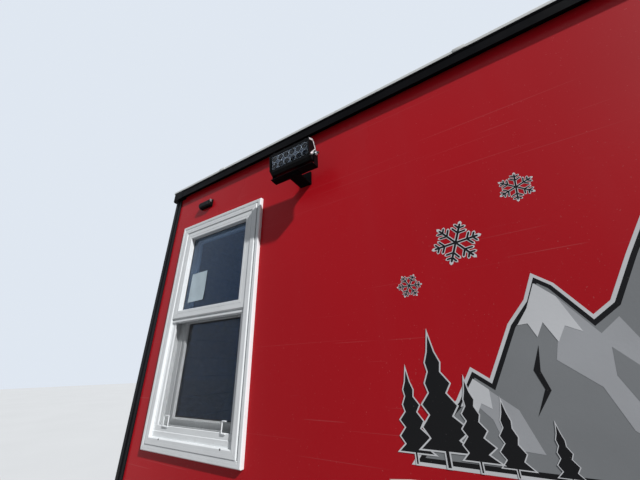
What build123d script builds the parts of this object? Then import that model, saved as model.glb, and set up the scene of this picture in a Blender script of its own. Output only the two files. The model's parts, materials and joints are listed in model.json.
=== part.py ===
from build123d import *
from math import cos, radians, sqrt, tan
import os

# A wheeled ice fishing hut, standing in road position on its tyres and its jack.
# Millimetres, +Z up. The drawbar points to -X, the street side faces -Y and the
# entrance is in the curb side, which faces +Y. The origin lies on the ground, under
# the middle of the whole outline.

# Body shell
body_length = 5180.0
body_width = 2440.0
ground_clearance = 420.0
wall_thickness = 44.0
lining_thickness = 8.0
lining_gap = 2.0
floor_thickness = 19.0
roof_thickness = 96.0
membrane_thickness = 5.0
membrane_round = 4.0

# Black trim of the body's edges
rail_proud = 26.0
rail_height = 51.0
rail_wall = 3.0
rail_back_leg = 38.0
rail_ridge = 1.6
rail_ridge_pitch = 6.0
membrane_edge = 16.0
cap_leg = 68.0
cap_proud = 27.0
cap_height = 54.0
cap_radius = 20.0
post_leg = 38.0
post_proud = 10.0
post_radius = 9.0
post_bead = 4.0
post_bead_leg = 16.0
bottom_trim_height = 40.0
bottom_trim_proud = 5.0
arch_trim_width = 38.0
arch_trim_proud = 6.0

# Steel frame under the floor
tube_height = 102.0
tube_width = 51.0
tube_wall = 5.0
member_pitch = 740.0
drawbar_length = 1060.0
drawbar_tail = 230.0
drawbar_half_angle = 25.0
drawbar_nose_half = 34.0
nose_setback = 120.0

# Wheels
tyre_radius = 344.0
tyre_width = 205.0
tyre_squash = 3.0
tread_width = 172.0
tread_depth = 9.0
tread_groove = 9.0
tread_groove_count = 4
tread_groove_pitch = 40.0
shoulder_drop = 16.0
bulge_height = 70.0
rim_radius = 192.0
rim_width = 152.0
rim_sheet = 6.0
rim_well_depth = 26.0
rim_ledge = 24.0
hand_hole_count = 8
hand_hole_radius = 15.0
hand_hole_circle = 115.0
axle_spacing = 840.0
axle_setback = 2840.0
tyre_inset = 66.0
hub_radius = 56.0
hub_cap_radius = 32.0
hub_cap_length = 39.0
hub_cap_round = 9.0
lug_circle_radius = 57.0
lug_radius = 9.5
lug_height = 16.0
lug_count = 5
arm_reach = 300.0
arm_thickness = 30.0
arm_pivot_radius = 50.0
arm_axle_radius = 46.0
arm_pin_radius = 24.0
arm_side_gap = 6.0

# Wheel wells
well_overhang = 60.0
well_top_clearance = 78.0
well_corner_radius = 110.0
well_sheet = 3.0
arm_gap_to_tyre = 12.0

# Fishing holes in the floor
hole_radius = 127.0
hole_rows_half_gap = 560.0
hole_columns = 4
collar_flange = 26.0
collar_wall = 6.0
collar_rise = 4.0
collar_chamfer = 2.5
collar_drop = 51.0
lid_grip_radius = 22.0
lid_grip_depth = 10.0
lid_grip_bar = 13.0
lid_gap = 0.25
lid_chamfer = 1.0

# Window unit, the same in every wall
window_width = 562.0
window_height = 1003.0
window_corner_gap = 141.0
window_head_drop = 228.0
casing_proud = 16.0
casing_band = 18.0
casing_base = 5.0
casing_chamfer = 3.0
groove = 4.0
frame_proud = 18.0
frame_face = 26.0
frame_chamfer = 2.5
frame_step = 6.0
frame_step_depth = 12.0
frame_back = 14.0
inner_casing_band = 34.0
inner_casing_thickness = 10.0
meeting_rail_height = 43.0
meeting_rail_offset = 20.0
meeting_rail_front = 12.0
meeting_rail_depth = 42.0
upper_band = 26.0
upper_front = 10.0
upper_glass_back = 12.0
glass_thickness = 4.0
sash_band = 32.0
sash_front = 30.0
sash_depth = 26.0
screen_band = 13.0
screen_front = 0.0
screen_depth = 9.0
mesh_thickness = 1.0

# Entrance
door_width = 640.0
door_height = 1800.0
door_head_room = 176.0
door_lamp_gap = 20.0
door_thickness = 40.0
door_gap = 3.0
door_frame_band = 34.0
door_frame_proud = 12.0
door_stop = 12.0
door_light_width = 360.0
door_light_height = 560.0
door_light_z = 1180.0
door_light_band = 30.0
door_light_proud = 8.0
door_panel_width = 218.0
door_panel_height = 450.0
door_panel_rise = 112.0
door_panel_gap = 52.0
door_panel_line = 6.0
handle_z = 900.0
handle_inset = 62.0
handle_rose_radius = 30.0
handle_rose_depth = 12.0
lever_length = 118.0
lever_radius = 9.0
lever_standoff = 48.0
deadbolt_rise = 120.0
hinge_height = 90.0
hinge_radius = 7.0
hinge_spacing = 648.0

# Marker and tail lights
marker_length = 100.0
marker_height = 42.0
marker_depth = 22.0
marker_base = 6.0
marker_round = 20.0
marker_edge = 6.0
marker_corner_gap = 284.0
marker_drop = 120.0
tail_length = 165.0
tail_height = 60.0
tail_depth = 24.0
tail_edge = 8.0
tail_corner_gap = 260.0
tail_rise = 140.0

# Light bars high on both long sides
lamp_corner_gap = 943.0
lamp_pivot_drop = 187.0
lamp_pivot_proud = 85.0
lamp_tilt = 5.0
lamp_length = 186.0
lamp_height = 106.0
lamp_depth = 64.0
lamp_face_front = 37.0
lamp_face_rise = 12.5
lamp_face_frame = 8.0
lamp_rim = 22.0
lamp_bezel_depth = 12.0
lamp_bezel_chamfer = 10.0
lamp_fin_count = 7
lamp_fin_slot = 4.5
lamp_fin_depth = 17.0
end_plate_thickness = 5.0
end_plate_depth = 51.0
end_plate_proud = 4.0
end_plate_chamfer = 17.0
reflector_columns = 6
reflector_rows = 2
reflector_depth = 20.0
reflector_taper = 25.0
reflector_wall = 1.5
lens_thickness = 3.0
bracket_strap = 3.0
bracket_strap_width = 26.0
bracket_end_gap = 2.0
bracket_clearance = 5.0
bracket_setback = 13.0
bracket_bolt_radius = 4.0
bracket_bolt_head = 7.0
bracket_head_height = 6.0
bracket_bolt_out = 16.0
bracket_bolt_gap = 0.3
foot_width = 54.0
foot_height = 62.0
foot_thickness = 4.0
foot_bolt_spacing = 26.0

# Coupler and jack
ball_socket_radius = 30.0
ball_socket_rise = 13.5
ball_mouth_radius = 27.0
coupler_nose_radius = 44.0
coupler_nose_height = 62.0
coupler_plate_length = 470.0
coupler_plate_thickness = 8.0
latch_setback = 26.0
latch_length = 120.0
latch_width = 22.0
latch_height = 16.0
latch_round = 7.0
jack_setback = 330.0
jack_tube_radius = 29.0
jack_leg_radius = 23.0
jack_rise = 510.0
jack_drop = 180.0
jack_flange = 130.0
jack_flange_thickness = 10.0
jack_flange_corner = 20.0
jack_head_radius = 36.0
jack_head_height = 29.0
jack_head_round = 12.0
jack_foot = 150.0
jack_foot_thickness = 8.0
jack_foot_corner = 18.0
crank_stem = 24.0
crank_reach = 150.0
crank_radius = 8.0
crank_knuckle = 32.0
crank_grip_length = 87.0
crank_grip_radius = 14.0
crank_grip_round = 5.0

# How far a cutting body runs past the face that it opens
past = 1.0

# Levels and places worked out from the sizes above
door_opening_width = door_width + 2 * (door_gap + door_frame_band)
door_opening_height = door_height + 2 * (door_gap + door_frame_band)
frame_top_z = ground_clearance + tube_height
floor_top_z = frame_top_z + floor_thickness
ceiling_z = floor_top_z + door_opening_height + door_head_room
wall_top_z = ceiling_z + lining_thickness
roof_top_z = wall_top_z + roof_thickness
overall_top_z = roof_top_z + membrane_thickness
rail_top_z = overall_top_z - membrane_edge
rail_bottom_z = rail_top_z - rail_height
cap_bottom_z = rail_top_z - cap_height
axle_z = tyre_radius - tyre_squash

half_length = body_length / 2
half_width = body_width / 2
inner_half_length = half_length - wall_thickness
inner_half_width = half_width - wall_thickness
clear_half_width = inner_half_width - lining_thickness

# The drawbar reaches further forward than the roof trim reaches back
nose_reach = drawbar_length + coupler_nose_radius
body_x = (nose_reach - cap_proud) / 2
front_x = body_x - half_length
rear_x = body_x + half_length
axle_middle_x = front_x + axle_setback
axle_x = [axle_middle_x - axle_spacing / 2, axle_middle_x + axle_spacing / 2]

tyre_outer_y = half_width - tyre_inset
tyre_y = tyre_outer_y - tyre_width / 2
tyre_inner_y = tyre_outer_y - tyre_width
arm_outer_y = tyre_inner_y - arm_gap_to_tyre
arm_inner_y = arm_outer_y - arm_thickness
rail_outer_y = arm_inner_y - arm_side_gap
rail_inner_y = rail_outer_y - tube_width

well_length = axle_spacing + 2 * (tyre_radius + well_overhang)
well_top_z = axle_z + tyre_radius + well_top_clearance
well_front_x = axle_middle_x - well_length / 2
well_rear_x = axle_middle_x + well_length / 2

window_z = rail_bottom_z - window_head_drop - window_height / 2
window_side_u = half_length - window_corner_gap - window_width / 2
marker_u = half_length - marker_corner_gap
marker_z = rail_bottom_z - marker_drop
tail_z = ground_clearance + tail_rise
lamp_u = half_length - lamp_corner_gap
lamp_pivot_z = rail_bottom_z - lamp_pivot_drop
lamp_half_span = lamp_length / 2 + end_plate_thickness + bracket_end_gap + bracket_bolt_out
door_u = lamp_u - lamp_half_span - door_lamp_gap - door_frame_band - door_opening_width / 2
door_z = floor_top_z + door_opening_height / 2
jack_x = front_x - drawbar_length + jack_setback
jack_top_z = ground_clearance + jack_rise
jack_tube_bottom_z = ground_clearance - jack_drop
wall_turn = {"street": 0.0, "curb": 180.0, "front": -90.0, "rear": 90.0}
wall_reach = {"street": half_width, "curb": half_width, "front": half_length, "rear": half_length}
sides = (-1, 1)


# Helpers
def block(x, y, z):
    """A box that spans the three given ranges."""
    middle = Pos((x[0] + x[1]) / 2, (y[0] + y[1]) / 2, (z[0] + z[1]) / 2)
    return middle * Box(abs(x[1] - x[0]), abs(y[1] - y[0]), abs(z[1] - z[0]))


def on_wall(wall, across, z):
    """The place on a wall's outer face: local X runs across, to the right of a viewer
    outside, local Y runs into the wall and local Z runs up."""
    return Pos(body_x, 0, 0) * Rot(0, 0, wall_turn[wall]) * Pos(across, -wall_reach[wall], z)


def rod_x(radius, x, y, z):
    """A round rod along X between the two values of x."""
    return Pos((x[0] + x[1]) / 2, y, z) * Rot(0, 90, 0) * Cylinder(radius, abs(x[1] - x[0]))


def rod_y(radius, x, y, z):
    """A round rod along Y between the two values of y."""
    return Pos(x, (y[0] + y[1]) / 2, z) * Rot(90, 0, 0) * Cylinder(radius, abs(y[1] - y[0]))


def rod_z(radius, x, y, z):
    """A round rod along Z between the two values of z."""
    return Pos(x, y, (z[0] + z[1]) / 2) * Cylinder(radius, abs(z[1] - z[0]))


def ring(width, height, band, front, back):
    """A rectangular frame in the XZ plane, its bars band wide, between two depths."""
    outer = block((-width / 2, width / 2), (front, back), (-height / 2, height / 2))
    half_width = width / 2 - band
    half_height = height / 2 - band
    hole = block((-half_width, half_width), (front - past, back + past), (-half_height, half_height))
    return outer - hole


def front_edges(piece, front):
    """The edges that lie in the plane y = front."""
    return piece.edges().filter_by_position(Axis.Y, front - 0.01, front + 0.01)


def hollow_tube(length):
    """A rectangular steel tube along X, centred on the origin."""
    bar = Box(length, tube_width, tube_height)
    core = Box(length, tube_width - 2 * tube_wall, tube_height - 2 * tube_wall)
    return bar - core


def in_section(sketch, length):
    """A sketch drawn in (Y, Z), extruded along +X by the given length."""
    section = Plane(origin=(0, 0, 0), x_dir=(0, 1, 0), z_dir=(1, 0, 0))
    return extrude(section * sketch, length, dir=(1, 0, 0))


def save(node, pieces):
    """Writes the solids of one node."""
    solids = [solid for piece in pieces for solid in piece.solids()]
    export_step(Compound(solids), f"parts/{node}.step")


# Places of the repeated units
window_places = {}
for wall in ("street", "curb"):
    window_places[wall] = [on_wall(wall, side * window_side_u, window_z) for side in sides]
for wall in ("front", "rear"):
    window_places[wall] = [on_wall(wall, 0, window_z)]
door_place = on_wall("curb", door_u, door_z)


# Steel frame
def main_rails():
    length = body_length - 2 * (wall_thickness + tube_width)
    middle_y = (rail_outer_y + rail_inner_y) / 2
    z = ground_clearance + tube_height / 2
    return [Pos(body_x, side * middle_y, z) * hollow_tube(length) for side in sides]


def rim_tubes():
    """Tubes round the floor's edge, left out where the wheels are."""
    z = ground_clearance + tube_height / 2
    y = inner_half_width - tube_width / 2
    start = front_x + wall_thickness
    end = rear_x - wall_thickness
    tubes = []
    for side in sides:
        for low, high in ((start, well_front_x), (well_rear_x, end)):
            tubes.append(Pos((low + high) / 2, side * y, z) * hollow_tube(high - low))
    length = 2 * (inner_half_width - tube_width)
    for x in (start + tube_width / 2, end - tube_width / 2):
        tubes.append(Pos(x, 0, z) * Rot(0, 0, 90) * hollow_tube(length))
    return tubes


def member_stations():
    """Where the cross members lie, counted from the middle of the body."""
    room = inner_half_length - 2 * tube_width
    count = int(room // member_pitch)
    return [body_x + number * member_pitch for number in range(-count, count + 1)]


def cross_members():
    """Tubes between the main rails, with stubs out to the rim beside the wheels."""
    z = ground_clearance + tube_height / 2
    members = []
    for x in member_stations():
        members.append(Pos(x, 0, z) * Rot(0, 0, 90) * hollow_tube(2 * rail_inner_y))
        clear_of_wells = x + tube_width < well_front_x or x - tube_width > well_rear_x
        if clear_of_wells:
            low = rail_outer_y
            high = inner_half_width - tube_width
            for side in sides:
                stub = Pos(x, side * (low + high) / 2, z) * Rot(0, 0, 90) * hollow_tube(high - low)
                members.append(stub)
    return members


def drawbar():
    """Two tubes under the frame that run together towards the coupler."""
    slope = tan(radians(drawbar_half_angle))
    tip_x = front_x - drawbar_length + nose_setback
    tail_x = member_stations()[0] + drawbar_tail
    run = tail_x - tip_x
    length = run / cos(radians(drawbar_half_angle))
    middle_x = (tip_x + tail_x) / 2
    middle_y = drawbar_nose_half + tube_width / 2 + run * slope / 2
    z = ground_clearance - tube_height / 2
    bars = []
    for side in sides:
        turn = Rot(0, 0, side * drawbar_half_angle)
        bars.append(Pos(middle_x, side * middle_y, z) * turn * hollow_tube(length))
    return bars


def coupler():
    """Nose with a ball socket, and the plate that ties it to the drawbar."""
    ball_x = front_x - drawbar_length
    plate_z = (ground_clearance, ground_clearance + coupler_plate_thickness)
    rear = ball_x + coupler_plate_length
    slope = tan(radians(drawbar_half_angle))
    start = ball_x + nose_setback
    half_start = drawbar_nose_half + tube_width
    half_rear = half_start + (rear - start) * slope
    outline = Polyline(
        (ball_x, -coupler_nose_radius),
        (start, -half_start),
        (rear, -half_rear),
        (rear, half_rear),
        (start, half_start),
        (ball_x, coupler_nose_radius),
        close=True,
    )
    plate = Pos(0, 0, plate_z[0]) * extrude(make_face(outline), coupler_plate_thickness)
    nose_bottom = plate_z[1] - coupler_nose_height
    nose = rod_z(coupler_nose_radius, ball_x, 0, (nose_bottom, plate_z[1]))
    cheeks = block((ball_x, start), (-coupler_nose_radius, coupler_nose_radius), (nose_bottom, plate_z[1]))
    body = plate + nose + cheeks
    socket_z = nose_bottom + ball_socket_rise
    socket = Pos(ball_x, 0, socket_z) * Sphere(ball_socket_radius)
    mouth = rod_z(ball_mouth_radius, ball_x, 0, (nose_bottom - past, socket_z))
    hole_z = (plate_z[0] - past, plate_z[1] + past)
    jack_hole = rod_z(jack_tube_radius, jack_x, 0, hole_z)
    body = body - socket - mouth - jack_hole
    latch = block(
        (ball_x + latch_setback, ball_x + latch_setback + latch_length),
        (-latch_width / 2, latch_width / 2),
        (plate_z[1], plate_z[1] + latch_height),
    )
    latch = fillet(latch.edges().filter_by(Axis.Y), latch_round)
    return [body, latch]


def jack():
    """Outer tube with its flange, and the crank on top."""
    x = jack_x
    plate_top = ground_clearance + coupler_plate_thickness
    flange = Box(jack_flange, jack_flange, jack_flange_thickness)
    flange = Pos(x, 0, plate_top + jack_flange_thickness / 2) * flange
    flange = fillet(flange.edges().filter_by(Axis.Z), jack_flange_corner)
    tube = rod_z(jack_tube_radius, x, 0, (jack_tube_bottom_z, jack_top_z))
    bore = rod_z(jack_leg_radius, x, 0, (jack_tube_bottom_z - past, plate_top))
    head_top = jack_top_z + jack_head_height
    head = rod_z(jack_head_radius, x, 0, (jack_top_z, head_top))
    head = chamfer(head.edges().group_by(Axis.Z)[-1], jack_head_round)
    body = flange + tube + head - bore
    stem_top = head_top + crank_stem
    stem = rod_z(crank_radius, x, 0, (head_top, stem_top))
    arm = rod_x(crank_radius, (x - crank_radius, x + crank_reach), 0, stem_top)
    grip_x = x + crank_reach - crank_radius
    knuckle = rod_z(crank_radius, grip_x, 0, (stem_top - crank_knuckle / 2, stem_top + crank_knuckle / 2))
    grip_low = stem_top + crank_radius
    grip = rod_z(crank_grip_radius, grip_x, 0, (grip_low, grip_low + crank_grip_length))
    grip = chamfer(grip.edges().group_by(Axis.Z)[-1], crank_grip_round)
    return [body + stem + arm + knuckle + grip]


def jack_leg():
    plate_top = ground_clearance + coupler_plate_thickness
    leg = rod_z(jack_leg_radius, jack_x, 0, (jack_foot_thickness, plate_top))
    foot = Box(jack_foot, jack_foot, jack_foot_thickness)
    foot = Pos(jack_x, 0, jack_foot_thickness / 2) * foot
    foot = fillet(foot.edges().filter_by(Axis.Z), jack_foot_corner)
    return [leg + foot]


# Running gear
def swing_arms():
    """Trailing arms with their pivot pins and hubs."""
    arms = []
    pivot_z = ground_clearance + tube_height / 2
    for x in axle_x:
        pivot_x = x - sqrt(arm_reach**2 - (pivot_z - axle_z) ** 2)
        for side in sides:
            link = make_hull(
                [
                    *(Pos(pivot_x, pivot_z) * Circle(arm_pivot_radius)).edges(),
                    *(Pos(x, axle_z) * Circle(arm_axle_radius)).edges(),
                ]
            )
            plate = extrude(Plane.XZ * link, amount=-arm_thickness)
            inner = min(side * arm_inner_y, side * arm_outer_y)
            plate = Pos(0, inner - plate.bounding_box().min.Y, 0) * plate
            pin = rod_y(arm_pin_radius, pivot_x, (side * rail_outer_y, side * arm_inner_y), pivot_z)
            disc_inner_y = tyre_y - rim_sheet / 2
            cap_end_y = tyre_y + rim_sheet / 2 + hub_cap_length
            hub = rod_y(hub_radius, x, (side * arm_outer_y, side * disc_inner_y), axle_z)
            cap = rod_y(hub_cap_radius, x, (side * disc_inner_y, side * cap_end_y), axle_z)
            outer = cap.edges().sort_by(Axis.Y)[-1 if side > 0 else 0]
            cap = fillet(outer, hub_cap_round)
            arms.append(plate + pin + hub + cap)
    return arms


def tyre():
    """Section turned about the axle, with its tread grooves and a flat contact patch."""
    half = tyre_width / 2
    bead = rim_width / 2
    section = Polyline(
        (rim_radius, -bead),
        (rim_radius + bulge_height, -half),
        (tyre_radius - shoulder_drop, -half),
        (tyre_radius, -tread_width / 2),
        (tyre_radius, tread_width / 2),
        (tyre_radius - shoulder_drop, half),
        (rim_radius + bulge_height, half),
        (rim_radius, bead),
        close=True,
    )
    section = make_face(section)
    for number in range(tread_groove_count):
        across = (number - (tread_groove_count - 1) / 2) * tread_groove_pitch
        section -= Pos(tyre_radius, across) * Rectangle(2 * tread_depth, tread_groove)
    body = revolve(section, Axis.Y)
    patch = block((-tyre_radius, tyre_radius), (-tyre_width, tyre_width), (-2 * tyre_radius, -axle_z))
    return body - patch


def wheel():
    """Steel rim with its dished disc, hand holes and wheel nuts."""
    bead = rim_width / 2
    well_radius = rim_radius - rim_well_depth
    barrel = Polyline(
        (rim_radius, -bead),
        (rim_radius, -bead + rim_sheet),
        (well_radius, -bead + rim_ledge),
        (well_radius, bead - rim_ledge),
        (rim_radius, bead - rim_sheet),
        (rim_radius, bead),
        (rim_radius - rim_sheet, bead),
        (rim_radius - rim_sheet, bead - rim_sheet),
        (well_radius - rim_sheet, bead - rim_ledge - rim_sheet / 2),
        (well_radius - rim_sheet, -bead + rim_ledge + rim_sheet / 2),
        (rim_radius - rim_sheet, -bead + rim_sheet),
        (rim_radius - rim_sheet, -bead),
        close=True,
    )
    shell = revolve(make_face(barrel), Axis.Y)
    facing = Rot(90, 0, 0)
    disc = facing * Cylinder(well_radius - rim_sheet / 2, rim_sheet)
    hand_hole = facing * Cylinder(hand_hole_radius, 2 * rim_sheet)
    for number in range(hand_hole_count):
        turn = Rot(0, 360 / hand_hole_count * number, 0)
        disc -= turn * Pos(hand_hole_circle, 0, 0) * hand_hole
    disc -= facing * Cylinder(hub_cap_radius, 2 * rim_sheet)
    rim = shell + disc
    nut = Pos(0, -rim_sheet / 2, 0) * facing * extrude(RegularPolygon(lug_radius, 6), lug_height)
    for number in range(lug_count):
        rim += Rot(0, 360 / lug_count * number, 0) * Pos(lug_circle_radius, 0, 0) * nut
    return rim


def wheels():
    tyres = []
    rims = []
    rubber = tyre()
    rim = wheel()
    for x in axle_x:
        for side in sides:
            place = Pos(x, side * tyre_y, axle_z)
            turn = Rot(0, 0, 180 if side > 0 else 0)
            tyres.append(place * rubber)
            rims.append(place * turn * rim)
    return tyres, rims


def arch_sketch(grow):
    """Outline of the wheel opening, grown outwards by the given amount."""
    width = well_length + 2 * grow
    top = well_top_z + grow
    bottom = ground_clearance
    radius = well_corner_radius + grow
    outline = Pos(axle_middle_x, (top + bottom) / 2) * Rectangle(width, top - bottom)
    return fillet(outline.vertices().group_by(Axis.Y)[-1], radius)


def arch_prism(grow, y):
    """The wheel opening as a prism between two values of y."""
    prism = extrude(Plane.XZ * arch_sketch(grow), amount=-(abs(y[1] - y[0])))
    return Pos(0, min(y) - prism.bounding_box().min.Y, 0) * prism


def wheel_wells():
    """Sheet housings over the wheels, seated on the walls and the main rails."""
    wells = []
    for side in sides:
        outer_y = (side * inner_half_width, side * (rail_outer_y - well_sheet))
        inner_y = (side * (inner_half_width + past), side * rail_outer_y)
        shell = arch_prism(0, outer_y) - arch_prism(-well_sheet, inner_y)
        under = block(
            (well_front_x - past, well_rear_x + past),
            (side * (rail_outer_y - 2 * well_sheet), side * rail_outer_y),
            (0, frame_top_z),
        )
        bottom = block(
            (well_front_x + well_sheet, well_rear_x - well_sheet),
            (side * rail_outer_y, side * (inner_half_width + past)),
            (0, ground_clearance + well_sheet + past),
        )
        wells.append(shell - under - bottom)
    return wells


def arch_trims():
    trims = []
    for side in sides:
        y = (side * half_width, side * (half_width + arch_trim_proud))
        cut_y = (y[0] - side * past, y[1] + side * past)
        trim = arch_prism(arch_trim_width, y) - arch_prism(0, cut_y)
        trims.append(trim)
    return trims


# Floor
def hole_places():
    """Centres of the fishing holes, midway between cross members."""
    stations = member_stations()
    middle = len(stations) // 2
    first = middle - hole_columns // 2
    columns = [(stations[first + n] + stations[first + n + 1]) / 2 for n in range(hole_columns)]
    return [(x, side * hole_rows_half_gap) for x in columns for side in sides]


def floor_deck():
    deck = block(
        (front_x + wall_thickness, rear_x - wall_thickness),
        (-inner_half_width, inner_half_width),
        (frame_top_z, floor_top_z),
    )
    for side in sides:
        deck -= arch_prism(0, (side * (rail_outer_y - well_sheet), side * (inner_half_width + past)))
    for x, y in hole_places():
        deck -= rod_z(hole_radius + collar_wall, x, y, (frame_top_z - past, floor_top_z + past))
    return [deck]


def hole_collars():
    collars = []
    top = floor_top_z + collar_rise
    for x, y in hole_places():
        sleeve = rod_z(hole_radius + collar_wall, x, y, (frame_top_z - collar_drop, floor_top_z))
        flange = rod_z(hole_radius + collar_flange, x, y, (floor_top_z, top))
        flange = chamfer(flange.edges().group_by(Axis.Z)[-1], collar_chamfer)
        bore = rod_z(hole_radius, x, y, (0, top + past))
        collars.append(sleeve + flange - bore)
    return collars


def hole_lids():
    lids = []
    top = floor_top_z + collar_rise
    for x, y in hole_places():
        lid = rod_z(hole_radius - lid_gap, x, y, (frame_top_z - collar_drop, top))
        lid = chamfer(lid.edges().group_by(Axis.Z)[-1], lid_chamfer)
        grip = rod_z(lid_grip_radius, x, y, (top - lid_grip_depth, top + past))
        bridge = block(
            (x - lid_grip_bar / 2, x + lid_grip_bar / 2),
            (y - lid_grip_radius, y + lid_grip_radius),
            (top - lid_grip_depth, top - lid_chamfer),
        )
        lids.append(lid - (grip - bridge))
    return lids


# Walls
def window_holes(wall):
    """Cutters for the windows of one wall, through the wall and its lining."""
    hole_width = window_width - 2 * (casing_band + groove)
    hole_height = window_height - 2 * (casing_band + groove)
    depth = wall_thickness + lining_thickness
    cutter = Pos(0, depth / 2, 0) * Box(hole_width, depth + 2 * past, hole_height)
    return [place * cutter for place in window_places[wall]]


def door_hole():
    """Cutter for the entrance, through the wall and its lining."""
    depth = wall_thickness + lining_thickness
    cutter = Box(door_opening_width, depth + 2 * past, door_opening_height)
    return door_place * Pos(0, depth / 2, 0) * cutter


def side_wall(wall):
    side = -1 if wall == "street" else 1
    y = (side * half_width, side * inner_half_width)
    panel = block((front_x, rear_x), y, (ground_clearance, wall_top_z))
    for hole in window_holes(wall):
        panel -= hole
    panel -= arch_prism(0, (y[0] + side * past, y[1] - side * past))
    if wall == "curb":
        panel -= door_hole()
    return [panel]


def end_wall(wall):
    x = (front_x, front_x + wall_thickness) if wall == "front" else (rear_x - wall_thickness, rear_x)
    panel = block(x, (-inner_half_width, inner_half_width), (ground_clearance, wall_top_z))
    for hole in window_holes(wall):
        panel -= hole
    return [panel]


def interior_lining():
    """Boarding on the walls and the ceiling, with a shadow gap at each inner corner."""
    low = floor_top_z
    high = ceiling_z - lining_gap
    pieces = []
    start = front_x + wall_thickness + lining_thickness + lining_gap
    end = rear_x - wall_thickness - lining_thickness - lining_gap
    for wall, side in (("street", -1), ("curb", 1)):
        board = block((start, end), (side * inner_half_width, side * clear_half_width), (low, high))
        for hole in window_holes(wall):
            board -= hole
        board -= arch_prism(0, (side * (clear_half_width - past), side * (inner_half_width + past)))
        if wall == "curb":
            board -= door_hole()
        pieces.append(board)
    for wall in ("front", "rear"):
        x = front_x + wall_thickness if wall == "front" else rear_x - wall_thickness
        inward = lining_thickness if wall == "front" else -lining_thickness
        board = block(sorted((x, x + inward)), (-inner_half_width, inner_half_width), (low, high))
        for hole in window_holes(wall):
            board -= hole
        pieces.append(board)
    ceiling = block(
        (front_x + wall_thickness, rear_x - wall_thickness),
        (-inner_half_width, inner_half_width),
        (ceiling_z, wall_top_z),
    )
    pieces.append(ceiling)
    return pieces


# Roof and edge trim
def roof_panel():
    return [block((front_x, rear_x), (-half_width, half_width), (wall_top_z, roof_top_z))]


def roof_membrane():
    """White sheet that is turned down over the edge rails."""
    x = (front_x - rail_proud, rear_x + rail_proud)
    y = (-half_width - rail_proud, half_width + rail_proud)
    sheet = block(x, y, (rail_top_z, overall_top_z))
    turned_edges = sheet.edges().filter_by(Axis.Z) + sheet.edges().group_by(Axis.Z)[-1]
    sheet = fillet(turned_edges, membrane_round)
    seat = block((front_x, rear_x), (-half_width, half_width), (rail_top_z - past, roof_top_z))
    return [sheet - seat]


def rail_profile():
    """Inverted channel in (outward, height), with two ridges near the top of its face."""
    face = Pos(rail_proud - rail_wall / 2, -rail_height / 2) * Rectangle(rail_wall, rail_height)
    top = Pos(rail_proud / 2, -rail_wall / 2) * Rectangle(rail_proud, rail_wall)
    back = Pos(rail_wall / 2, -rail_back_leg / 2) * Rectangle(rail_wall, rail_back_leg)
    outline = face + top + back
    for number in (1, 2):
        outline += Pos(rail_proud, -rail_ridge_pitch * number) * Circle(rail_ridge)
    hem = Pos(rail_proud - rail_wall, -rail_height + rail_wall / 2) * Rectangle(2 * rail_wall, rail_wall)
    return outline + hem


def edge_rails():
    """Straight rails along the four roof edges, between the corner caps."""
    profile = rail_profile()
    rails = []
    for wall in wall_turn:
        length = (body_length if wall in ("street", "curb") else body_width) - 2 * cap_leg
        face = Plane(origin=(0, 0, 0), x_dir=(0, -1, 0), z_dir=(-1, 0, 0)) * profile
        bar = Pos(-length / 2, 0, 0) * extrude(face, length, dir=(1, 0, 0))
        rails.append(on_wall(wall, 0, rail_top_z) * bar)
    return rails


def corner_place(side_x, side_y):
    """A body corner, turned so that the local walls run along +X and +Y."""
    turn = {(-1, -1): 0, (1, -1): 90, (1, 1): 180, (-1, 1): 270}[(side_x, side_y)]
    return Pos(body_x + side_x * half_length, side_y * half_width, 0) * Rot(0, 0, turn)


def corner_profile(leg, proud, radius, thickness):
    """L section round a body corner, in the local frame of corner_place."""
    outer = Rectangle(leg + proud, leg + proud, align=(Align.MIN, Align.MIN))
    outer = Pos(-proud, -proud) * outer
    outer = fillet(outer.vertices().sort_by_distance((-proud, -proud))[0], radius)
    inset = Rectangle(leg + proud, leg + proud, align=(Align.MIN, Align.MIN))
    return outer - Pos(thickness - proud, thickness - proud) * inset


def corner_posts():
    posts = []
    height = cap_bottom_z - ground_clearance
    flat = corner_profile(post_leg, post_proud - post_bead, post_radius, post_proud - post_bead)
    bead = corner_profile(post_bead_leg, post_proud, post_radius, post_proud)
    profile = flat + bead
    post = Pos(0, 0, ground_clearance) * extrude(profile, height)
    for side_x in sides:
        for side_y in sides:
            posts.append(corner_place(side_x, side_y) * post)
    return posts


def corner_caps():
    caps = []
    profile = corner_profile(cap_leg, cap_proud, cap_radius, cap_proud)
    cap = Pos(0, 0, cap_bottom_z) * extrude(profile, cap_height)
    for side_x in sides:
        for side_y in sides:
            caps.append(corner_place(side_x, side_y) * cap)
    return caps


def bottom_trims():
    """Edge strips along the foot of the walls, between the posts and the wheel openings."""
    z = (ground_clearance, ground_clearance + bottom_trim_height)
    strips = []
    start = front_x + post_leg
    end = rear_x - post_leg
    for side in sides:
        y = (side * half_width, side * (half_width + bottom_trim_proud))
        for low, high in ((start, well_front_x - arch_trim_width), (well_rear_x + arch_trim_width, end)):
            strips.append(block((low, high), y, z))
    y = (-half_width + post_leg, half_width - post_leg)
    strips.append(block((front_x - bottom_trim_proud, front_x), y, z))
    strips.append(block((rear_x, rear_x + bottom_trim_proud), y, z))
    return strips


# Window unit, in its own frame: X across, Y into the wall, Z up, centred on the opening
frame_band_start = casing_band + groove
frame_band_end = frame_band_start + frame_face
step_band_end = frame_band_end + frame_step
frame_depth = wall_thickness + lining_thickness + frame_back
sash_opening_width = window_width - 2 * step_band_end
rail_low = meeting_rail_offset - meeting_rail_height / 2
rail_high = meeting_rail_offset + meeting_rail_height / 2
lower_low = -window_height / 2 + step_band_end
upper_high = window_height / 2 - step_band_end


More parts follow.
